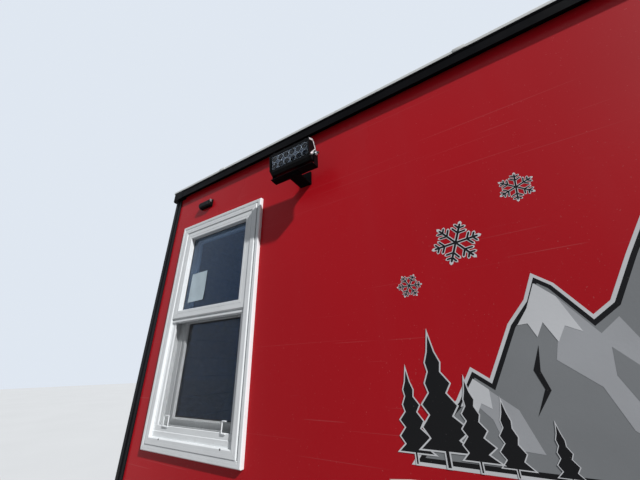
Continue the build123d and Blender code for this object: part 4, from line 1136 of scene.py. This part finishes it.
    def paint_glint(self, name, place):
        """Bright strip round the top, the back and the foot of the right end plate: a painted highlight of
        the sun on its bevel.
        """
        bm = bmesh.new()
        inner = 0.0978
        outer = 0.0990
        lap = 0.0025
        right = Vector((1, 0, 0))
        contour = [Vector((0, y, z)) for y, z in PLATE_CONTOUR]
        for half, start, end in zip((0.0042, 0.0034, 0.0042), contour, contour[1:]):
            along = end - start
            turned = Matrix((right, along.cross(right).normalized(), along.normalized()))
            strip = bmesh.new()
            add_box(strip, (inner, -half, -lap), (outer, half, along.length + lap), 0.0004, 1)
            seat = Matrix.Translation(start) @ turned.transposed().to_4x4()
            add_mesh(bm, repeated(strip, [seat]))
        make_piece(f"{name}_glint_strip", bm, "bare_edge", [place], name)

    def strap_fittings(self, name):
        """Bright nuts over the side bolts, and the lip along the front of the strap."""
        place = lamp_place(name, 0.0)
        strap = 0.1031
        # The washer, the nut and the bolt's end: place along the bolt, radius, length, sides, rounding
        stack = (
            (0.0, 0.0090, 0.0012, 24, 0.0004),
            (0.0010, 0.0078, 0.0064, 6, 0.0008),
            (0.0070, 0.0036, 0.0064, 14, 0.0012),
        )
        bm = bmesh.new()
        for side in (-1, 1):
            seat = Matrix.Translation((side * strap, 0, 0)) @ facing((side, 0, 0))
            for out, radius, length, sides, rounding in stack:
                outward = seat @ Matrix.Translation((0, 0, out))
                add_rod(bm, outward, radius, length, sides, bevel=rounding)
        make_piece(f"{name}_side_nuts", bm, "bright", [place])
        bm = bmesh.new()
        add_strip(bm, 0.1015, (-0.0245, -0.0606), (-0.0125, -0.0578), 0.0008)
        make_piece(f"{name}_strap_lip", bm, "bracket", [place])


class HUT_OT_roof(bpy.types.Operator):
    """Lay the roof membrane with its welded laps over the edge"""

    bl_idname = "hut.roof"
    bl_label = "Roof"

    def execute(self, context):
        roof = context.scene.hut_roof
        low = MEMBRANE_LOW.copy()
        high = MEMBRANE_HIGH - Vector((0, 0, roof.seam_rise))
        bm = bmesh.new()
        add_box(bm, low, high)
        top = [e for e in bm.edges if all(v.co.z > high.z - 1e-6 for v in e.verts)]
        corners = [e for e in bm.edges if abs(e.verts[0].co.z - e.verts[1].co.z) > 0.001]
        soften(bm, top + corners, 0.004, 4)
        first = BODY_X + roof.seam_place
        before = int((first - low.x - roof.seam_width) / roof.seam_pitch)
        after = int((high.x - roof.seam_width - first) / roof.seam_pitch)
        for number in range(-before, after + 1):
            self.lap(bm, first + number * roof.seam_pitch, roof, low, high)
        piece = make_piece("roof_sheet", bm, "membrane")
        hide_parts("roof_membrane")
        return {"FINISHED"}

    def lap(self, bm, place, roof, low, high):
        """A welded strip across the roof, turned down over both edges."""
        left = place - roof.seam_width / 2
        right = place + roof.seam_width / 2
        sunk = 0.002
        rise = roof.seam_rise
        rounding = 0.0005
        top = (right, high.y - sunk, high.z + rise)
        add_box(bm, (left, low.y + sunk, high.z - sunk), top, rounding)
        for face, side in ((low.y, -1), (high.y, 1)):
            near, far = sorted((face - side * sunk, face + side * rise))
            add_box(bm, (left, near, low.z + 0.001), (right, far, high.z + rise * 0.6), rounding)


class HUT_OT_tyres(bpy.types.Operator):
    """Turn the tyres with their sipes, grooves and sidewall rings"""

    bl_idname = "hut.tyres"
    bl_label = "Tyres"

    def execute(self, context):
        tyre = context.scene.hut_tyre
        across = TYRE_HIGH.y - tyre.width / 2
        middle = (TYRE_LOW.x + TYRE_HIGH.x) / 2
        spots = [(middle + end * tyre.spacing / 2, side * across) for end in (-1, 1) for side in (-1, 1)]
        places = [Matrix.Translation((x, y, tyre.axle)) for x, y in spots]
        unit = self.unit(tyre)
        piece = make_piece("tyres_treaded", unit, "rubber", places, smooth=28.0)
        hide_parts("tyres")
        self.valves(tyre, spots)
        return {"FINISHED"}

    def valves(self, tyre, spots):
        """A rubber valve with its cap on each rim, leaning towards the axle."""
        bm = bmesh.new()
        angle = math.radians(62.0)
        radius = 0.166
        lean = 0.25
        for x, y in spots:
            side = 1 if y > 0 else -1
            along = Vector((math.cos(angle), 0, math.sin(angle)))
            root = Vector((x, y + side * 0.046, tyre.axle)) + along * radius
            seat = Matrix.Translation(root) @ facing(Vector((0, side, 0)) - along * lean)
            add_rod(bm, seat, 0.0055, 0.024, 12, 0.0042)
            add_rod(bm, seat @ Matrix.Translation((0, 0, 0.023)), 0.0046, 0.009, 10, bevel=0.001)
        make_piece("wheel_valves", bm, "rubber")

    def profile(self, tyre):
        """Half section from the bead to the middle of the tread: distance out and radius."""
        half = tyre.width / 2
        tread = 0.344
        side = [
            (0.070, 0.190), (0.0765, 0.1925), (0.0830, 0.1965), (0.0860, 0.2050), (0.0935, 0.2180),
            (0.0965, 0.2205), (0.0970, 0.2240), (0.1000, 0.2420), (half - 0.0003, 0.2620),
            (half, 0.2645), (half, 0.2720), (half - 0.0012, 0.2745), (half - 0.0010, 0.2960),
            (half, 0.2985), (half, 0.3120), (half - 0.0015, 0.3150), (half - 0.0022, 0.3260),
            (half - 0.0060, 0.3335), (0.0880, 0.3415), (0.0820, tread),
        ]
        edge = tyre.groove / 2
        for centre in (0.060, 0.020):
            for out, depth in ((1, 0), (0.62, 1), (-0.62, 1), (-1, 0)):
                side.append((centre + edge * out, tread - tyre.groove_depth * depth))
        return side

    def unit(self, tyre):
        """One tyre about its axle: a pitch with one sipe, repeated all round."""
        side = self.profile(tyre)
        bm = bmesh.new()
        chain = [bm.verts.new((0, y, r)) for y, r in side]
        chain += [bm.verts.new((0, -y, r)) for y, r in reversed(side)]
        edges = [bm.edges.new(pair) for pair in zip(chain, chain[1:])]
        step = 2 * math.pi / tyre.pitches
        wide = (step - tyre.sipe) / 2
        rib_radius = 0.3330
        geometry = chain + edges
        ribs = []
        for angle, is_sipe in ((wide, False), (tyre.sipe, True), (wide, False)):
            before = set(bm.faces)
            geometry = bmesh.ops.spin(
                bm, geom=geometry, cent=(0, 0, 0), axis=(0, 1, 0), angle=angle, steps=1, use_duplicate=False
            )["geom_last"]
            if is_sipe:
                cut = [face for face in bm.faces if face not in before]
                ribs = [face for face in cut if min(axle_distance(v) for v in face.verts) > rib_radius]
        for vert in only_verts(bmesh.ops.extrude_face_region(bm, geom=ribs)["geom"]):
            radius = axle_distance(vert)
            share = (radius - tyre.sipe_depth) / radius
            vert.co.x *= share
            vert.co.z *= share
        bmesh.ops.delete(bm, geom=ribs, context="FACES_ONLY")
        bmesh.ops.delete(bm, geom=[v for v in bm.verts if not v.link_faces], context="VERTS")
        whole = repeated(bm, [Matrix.Rotation(step * number, 4, "Y") for number in range(tyre.pitches)])
        bmesh.ops.remove_doubles(whole, verts=whole.verts, dist=2e-5)
        for vert in whole.verts:
            vert.co.z = max(vert.co.z, -tyre.axle)
        return whole


class HUT_OT_fasteners(bpy.types.Operator):
    """Set the screws of the bottom trim and of the wheel openings"""

    bl_idname = "hut.fasteners"
    bl_label = "Fasteners"

    def execute(self, context):
        screw = context.scene.hut_screw
        bm = bmesh.new()
        z = (TRIM_LOW.z + TRIM_HIGH.z) / 2
        proud = TRIM_HIGH.y - HALF_WIDTH
        stations = int(2 * HALF_LENGTH / screw.pitch)
        start = -stations / 2 * screw.pitch
        for wall in ("street", "curb"):
            for number in range(stations + 1):
                across = start + number * screw.pitch
                x = on_wall(wall, across, z).translation.x
                if ARCH_LOW.x - 0.02 < x < ARCH_HIGH.x + 0.02 or abs(across) > HALF_LENGTH - 0.06:
                    continue
                self.screw(bm, screw, on_wall(wall, across, z, proud))
            self.arch(bm, screw, wall)
        for wall in ("front", "rear"):
            for number in range(-4, 5):
                self.screw(bm, screw, on_wall(wall, number * 0.27, z, proud))
        make_piece("trim_screws", bm, "trim")
        return {"FINISHED"}

    def screw(self, bm, screw, place):
        """A low round head whose foot lies in the trim."""
        seat = place @ FORWARD @ Matrix.Translation((0, 0, -0.0005))
        add_rod(bm, seat, screw.radius, screw.rise, 12, bevel=screw.rise * 0.5)

    def arch(self, bm, screw, wall):
        """Screws round the wheel opening, in the middle of its trim."""
        proud = 0.006
        edge = 0.019
        radius = 0.129
        middle = (ARCH_LOW.x + ARCH_HIGH.x) / 2 - BODY_X
        half = (ARCH_HIGH.x - ARCH_LOW.x) / 2 - edge
        top = ARCH_HIGH.z - edge
        side = 1 if wall == "street" else -1
        points = [(sign * half, z) for sign in (-1, 1) for z in (0.452, 0.560)]
        points += [(half * 0.26 * number, top) for number in range(-3, 4)]
        inset = radius - radius * math.sqrt(0.5)
        points += [(sign * (half - inset), top - inset) for sign in (-1, 1)]
        for x, z in points:
            self.screw(bm, screw, on_wall(wall, side * (middle + x), z, proud))


class HUT_OT_lights(bpy.types.Operator):
    """Add the lens ribs and screws of the marker and tail lights, and the grey plates that paint a
    highlight on the markers' right ends
    """

    bl_idname = "hut.lights"
    bl_label = "Marker and tail lights"

    def execute(self, context):
        self.markers()
        self.tails()
        return {"FINISHED"}

    def markers(self):
        z = (MARKER_LOW.z + MARKER_HIGH.z) / 2
        places = [on_wall(wall, side * 2.306, z) for wall in ("street", "curb") for side in (-1, 1)]
        half_high = 0.0125
        bm = bmesh.new()
        for number in range(7):
            x = -0.030 + number * 0.0105
            add_box(bm, (x, -0.0221, -half_high), (x + 0.0045, -0.0195, half_high), 0.0009)
        make_piece("marker_lens_ribs", bm, "marker", places)
        # Grey plate on the right end of each marker: a painted highlight of its sunlit end
        bm = bmesh.new()
        add_box(bm, (0.0462, -0.0208, 0.0005), (0.0500, -0.0100, 0.0172), 0.001)
        make_piece("marker_end_plates", bm, "marker_end", places)

    def tails(self):
        z = (TAIL_LOW.z + TAIL_HIGH.z) / 2
        places = [on_wall("rear", side * 0.960, z) for side in (-1, 1)]
        half_rib = 0.0022
        bm = bmesh.new()
        for number in range(-2, 3):
            height = number * 0.0085
            add_strip(bm, 0.052, (-0.0242, height - half_rib), (-0.0218, height + half_rib), 0.0009)
        make_piece("tail_lens_ribs", bm, "tail", places)
        bm = bmesh.new()
        for side in (-1, 1):
            seat = Matrix.Translation((side * 0.064, -0.0235, 0)) @ FORWARD
            add_rod(bm, seat, 0.0042, 0.0016, 12, bevel=0.0006)
        make_piece("tail_screws", bm, "bright", places)


# Outline of the ridge in millimetres: x and height
RIDGE = [
    (30, 0), (100, 85), (155, 135), (200, 205), (235, 180), (300, 295), (345, 345), (375, 405), (410, 375),
    (455, 300), (490, 325), (545, 415), (600, 500), (635, 575), (665, 620), (705, 560), (755, 505),
    (800, 415), (840, 385), (875, 405), (930, 325), (975, 285), (1040, 190), (1110, 110), (1190, 0),
]
# The shapes that lie on it, by layer and finish: lit faces, snow, shade and clefts
RIDGE_SHAPES = {
    (2, 3): [
        [(665, 590), (650, 520), (685, 480), (655, 400), (715, 345), (700, 270), (775, 215), (800, 120),
         (860, 60), (1120, 40), (1020, 170), (955, 265), (900, 320), (872, 370), (842, 352), (785, 390),
         (742, 490), (695, 535)],
        [(375, 380), (362, 320), (392, 285), (368, 215), (425, 165), (445, 95), (505, 50), (560, 50),
         (530, 150), (512, 235), (492, 292), (455, 262), (405, 345)],
        [(200, 180), (192, 130), (222, 100), (235, 50), (300, 45), (275, 120), (236, 150)],
    ],
    (3, 0): [
        [(663, 592), (628, 545), (600, 485), (618, 492), (628, 462), (648, 490), (660, 440), (684, 478),
         (706, 445), (722, 470), (742, 455), (735, 495), (695, 540)],
        [(373, 380), (345, 325), (318, 290), (338, 292), (348, 262), (366, 292), (382, 250), (402, 282),
         (428, 268), (405, 345)],
        [(200, 180), (178, 150), (162, 122), (182, 126), (192, 105), (206, 130), (226, 120), (228, 158)],
        [(874, 378), (850, 345), (866, 345), (876, 318), (890, 340), (912, 312), (906, 338)],
    ],
    (2.6, 2): [
        [(800, 352), (812, 262), (800, 205), (862, 128), (985, 78), (898, 186), (852, 262)],
        [(462, 236), (452, 185), (470, 135), (512, 72), (498, 140), (500, 190)],
    ],
    (2.6, 1): [
        [(628, 452), (598, 368), (604, 330), (566, 262), (574, 222), (548, 150), (590, 226), (586, 262),
         (622, 330), (616, 366)],
        [(652, 300), (636, 232), (648, 196), (622, 120), (658, 190), (648, 230)],
        [(345, 245), (322, 196), (332, 160), (306, 110), (342, 158), (334, 194)],
    ],
}
# Place and height of each pine in millimetres
PINES = [
    (45, 215), (115, 300), (180, 190), (245, 145), (985, 165), (1045, 245), (1120, 345), (1195, 230),
    (330, 105), (905, 115),
]
# Start, end, height, bow and thickness of each stripe, and the finish of its core
STRIPES = [
    (-0.03, 1.42, -0.035, 0.075, 0.052, 1),
    (0.10, 1.62, -0.135, 0.105, 0.060, 1),
    (0.34, 1.30, -0.198, 0.060, 0.030, 2),
    (-0.10, 0.62, -0.112, 0.045, 0.024, 2),
]
# Place, height, reach and turn of each snow crystal
FLAKES = [
    (0.235, 0.520, 0.062, 8.0),
    (0.410, 0.640, 0.042, 22.0),
    (0.090, 0.420, 0.034, 0.0),
    (0.930, 0.560, 0.055, 14.0),
    (1.090, 0.470, 0.036, 3.0),
    (1.170, 0.640, 0.046, 26.0),
    (0.830, 0.700, 0.034, 10.0),
]


def in_metres(outline):
    return [(x / 1000, z / 1000) for x, z in outline]


class HUT_OT_artwork(bpy.types.Operator):
    """Cut the film artwork of peaks, pines, flakes and sweeping stripes"""

    bl_idname = "hut.artwork"
    bl_label = "Artwork"

    def execute(self, context):
        art = context.scene.hut_artwork
        bm = bmesh.new()
        self.ranges(bm, art)
        self.pines(bm, art)
        self.stripes(bm, art)
        self.flakes(bm, art)
        places = [on_wall("street", art.left, art.base), on_wall("curb", art.curb_left, art.base)]
        films = "film_white film_black film_grey film_pale"
        make_piece("film_artwork", bm, films, places, smooth=20.0)
        return {"FINISHED"}

    def sheet(self, bm, art, points, layer, finish, rims=()):
        """A flat shape of film. Each rim takes a band inwards and the next finish."""
        out = -art.film * layer
        verts = [bm.verts.new((x, out, z)) for x, z in points]
        face = bm.faces.new(verts)
        face.normal_update()
        face.material_index = finish
        for band, inner in rims:
            bmesh.ops.inset_individual(bm, faces=[face], thickness=band, use_even_offset=True)
            face.material_index = inner
        outline = set(verts)
        rim = [edge for edge in bm.edges if edge.is_boundary and outline.issuperset(edge.verts)]
        bmesh.ops.translate(bm, vec=(0, art.film * 0.95, 0), verts=grown(bm, rim)[0])

    def ranges(self, bm, art):
        """A ridge of peaks with lit faces, clefts and snow."""
        self.sheet(bm, art, in_metres(RIDGE), 1, 0, [(art.rim, 1), (art.rim * 1.3, 2)])
        for (layer, finish), outlines in RIDGE_SHAPES.items():
            for outline in outlines:
                self.sheet(bm, art, in_metres(outline), layer, finish)

    def pines(self, bm, art):
        """Two stands of pines, ragged at the edge, each tree with a white rim."""
        draw = random.Random(7)
        foot = 0.10
        crown = 0.78
        for number, (x, height) in enumerate(in_metres(PINES)):
            tiers = 5 if height > 0.16 else 4
            lift = height * crown / tiers
            left = []
            right = []
            for tier in range(tiers):
                low = height * (foot + crown * tier / tiers)
                notch_high = low + lift * 0.55
                reach = height * 0.22 * (1 - 0.86 * tier / tiers)
                notch = reach * 0.52
                jitter = draw.uniform(0.88, 1.12)
                left += [(x - reach * jitter, low), (x - notch, notch_high)]
                right += [(x + reach / jitter, low), (x + notch, notch_high)]
            trunk = height * 0.022
            outline = [(x - trunk, 0), (x - trunk, height * foot), *left, (x, height)]
            outline += [*reversed(right), (x + trunk, height * foot), (x + trunk, 0)]
            rim = min(art.rim * 0.45, trunk * 0.6)
            self.sheet(bm, art, outline, 4 + 0.5 * (number % 3), 0, [(rim, 1)])

    def stripes(self, bm, art):
        """Long sweeping stripes under the ridge, white with a black or grey core, pointed at both ends."""
        steps = 28
        for start, end, height, bow, thick, core in STRIPES:
            upper = []
            lower = []
            for number in range(steps + 1):
                share = number / steps
                x = start + (end - start) * share
                arc = height + bow * (share**1.6) - 0.35 * bow * math.sin(math.pi * share)
                swell = thick * math.sin(math.pi * share**0.7) ** 0.9 if 0 < share < 1 else 0.0
                upper.append((x, arc + swell / 2))
                lower.append((x, arc - swell / 2))
            rim = min(art.rim * 0.7, thick * 0.17)
            self.sheet(bm, art, upper + lower[-2:0:-1], 1, 0, [(rim, core)])

    def flakes(self, bm, art):
        """Snow crystals of three sizes over the ridge: a white one under a narrower black one."""
        for x, z, reach, angle in FLAKES:
            for scale, share_wide, layer, finish in ((1.0, 0.155, 1, 0), (0.90, 0.085, 2, 1)):
                width = reach * share_wide
                for arm in range(6):
                    heading = math.radians(angle + 60 * arm)
                    height = layer + arm * 0.01
                    self.bar(bm, art, (x, z), heading, reach * scale, width, height, finish)
                    for share, twig in ((0.48, 0.34), (0.72, 0.24)):
                        out = reach * share
                        root = (x + math.cos(heading) * out, z + math.sin(heading) * out)
                        length = reach * twig * scale
                        for side in (-1, 1):
                            away = heading + side * math.radians(58)
                            above = height + 0.08 + side * 0.004
                            self.bar(bm, art, root, away, length, width * 0.9, above, finish)

    def bar(self, bm, art, root, heading, length, width, layer, finish):
        """A straight arm of a crystal, pointed at its far end."""
        along = Vector((math.cos(heading), math.sin(heading)))
        across = Vector((-along.y, along.x)) * width / 2
        root = Vector(root)
        end = root + along * length
        tip = root + along * (length + width / 2)
        points = [root - across, end - across, tip, end + across, root + across]
        self.sheet(bm, art, points, layer, finish)


class HUT_OT_studio(bpy.types.Operator):
    """Set the floor, the soft lights and the camera"""

    bl_idname = "hut.studio"
    bl_label = "Studio"

    def execute(self, context):
        studio = context.scene.hut_studio
        bm = bmesh.new()
        bmesh.ops.create_circle(bm, cap_ends=True, segments=96, radius=studio.floor_radius)
        mesh = bpy.data.meshes.new("studio_floor")
        bm.to_mesh(mesh)
        bm.free()
        mesh.materials.append(floor_finish(studio.floor, studio.floor_bounce))
        floor = bpy.data.objects.new("studio_floor", mesh)
        context.scene.collection.objects.link(floor)
        self.world(context, studio)
        self.sun(context, "key_light", (2.3, -1.0, 2.0), studio.key_level, studio.key_softness)
        self.sun(context, "fill_light", (-1.6, 2.2, 2.0), studio.fill_level, studio.fill_softness)
        self.camera(context, studio)
        context.scene.view_settings.view_transform = "Standard"
        return {"FINISHED"}

    def camera(self, context, studio):
        """At eye level, close to the street side and looking up."""
        camera = bpy.data.objects.new("camera", bpy.data.cameras.new("camera"))
        camera.data.lens = studio.camera_lens
        camera.data.clip_start = 0.05
        camera.data.clip_end = 400.0
        place = Matrix.Translation(studio.camera_place) @ Matrix.Rotation(studio.camera_yaw, 4, "Z")
        place = place @ Matrix.Rotation(math.pi / 2 + studio.camera_pitch, 4, "X")
        camera.matrix_world = place @ Matrix.Rotation(studio.camera_roll, 4, "Z")
        context.scene.collection.objects.link(camera)
        context.scene.camera = camera

    def sun(self, context, name, toward, strength, softness):
        light = bpy.data.lights.new(name, "SUN")
        light.energy = strength
        light.angle = softness
        holder = bpy.data.objects.new(name, light)
        holder.rotation_mode = "QUATERNION"
        holder.rotation_quaternion = Vector(toward).to_track_quat("Z", "Y")
        context.scene.collection.objects.link(holder)

    def world(self, context, studio):
        """Soft light for the hut; camera, mirror and glass rays see the plain backdrop."""
        world = bpy.data.worlds.new("studio_world")
        world.use_nodes = True
        tree = world.node_tree
        tree.nodes.clear()
        seen = node(tree, "Background", {"Color": (*studio.backdrop, 1.0), "Strength": 1.0})
        soft = node(tree, "Background", {"Color": (*studio.sky, 1.0), "Strength": studio.sky_level})
        mixed = node(tree, "MixShader", {0: seen_share(tree), 1: soft.outputs[0], 2: seen.outputs[0]})
        node(tree, "OutputWorld", {"Surface": mixed.outputs[0]})
        context.scene.world = world


class HUT_PT_panel(bpy.types.Panel):
    """Builds the hut step by step"""

    bl_idname = "HUT_PT_panel"
    bl_label = "Ice fishing hut"
    bl_space_type = "VIEW_3D"
    bl_region_type = "UI"
    bl_category = "Hut"

    def draw(self, context):
        for step in STEPS:
            self.layout.operator(step.bl_idname)


STEPS = [
    HUT_OT_studio,
    HUT_OT_finishes,
    HUT_OT_windows,
    HUT_OT_light_bars,
    HUT_OT_roof,
    HUT_OT_tyres,
    HUT_OT_fasteners,
    HUT_OT_lights,
    HUT_OT_artwork,
]


def register():
    for group in GROUPS.values():
        bpy.utils.register_class(group)
    for name, group in GROUPS.items():
        setattr(bpy.types.Scene, name, PointerProperty(type=group))
    for step in STEPS:
        bpy.utils.register_class(step)
    bpy.utils.register_class(HUT_PT_panel)


def unregister():
    bpy.utils.unregister_class(HUT_PT_panel)
    for step in reversed(STEPS):
        bpy.utils.unregister_class(step)
    for name in GROUPS:
        delattr(bpy.types.Scene, name)
    for group in reversed(GROUPS.values()):
        bpy.utils.unregister_class(group)


def main():
    register()
    for step in STEPS:
        area, name = step.bl_idname.split(".")
        getattr(getattr(bpy.ops, area), name)()


if __name__ == "__main__":
    main()
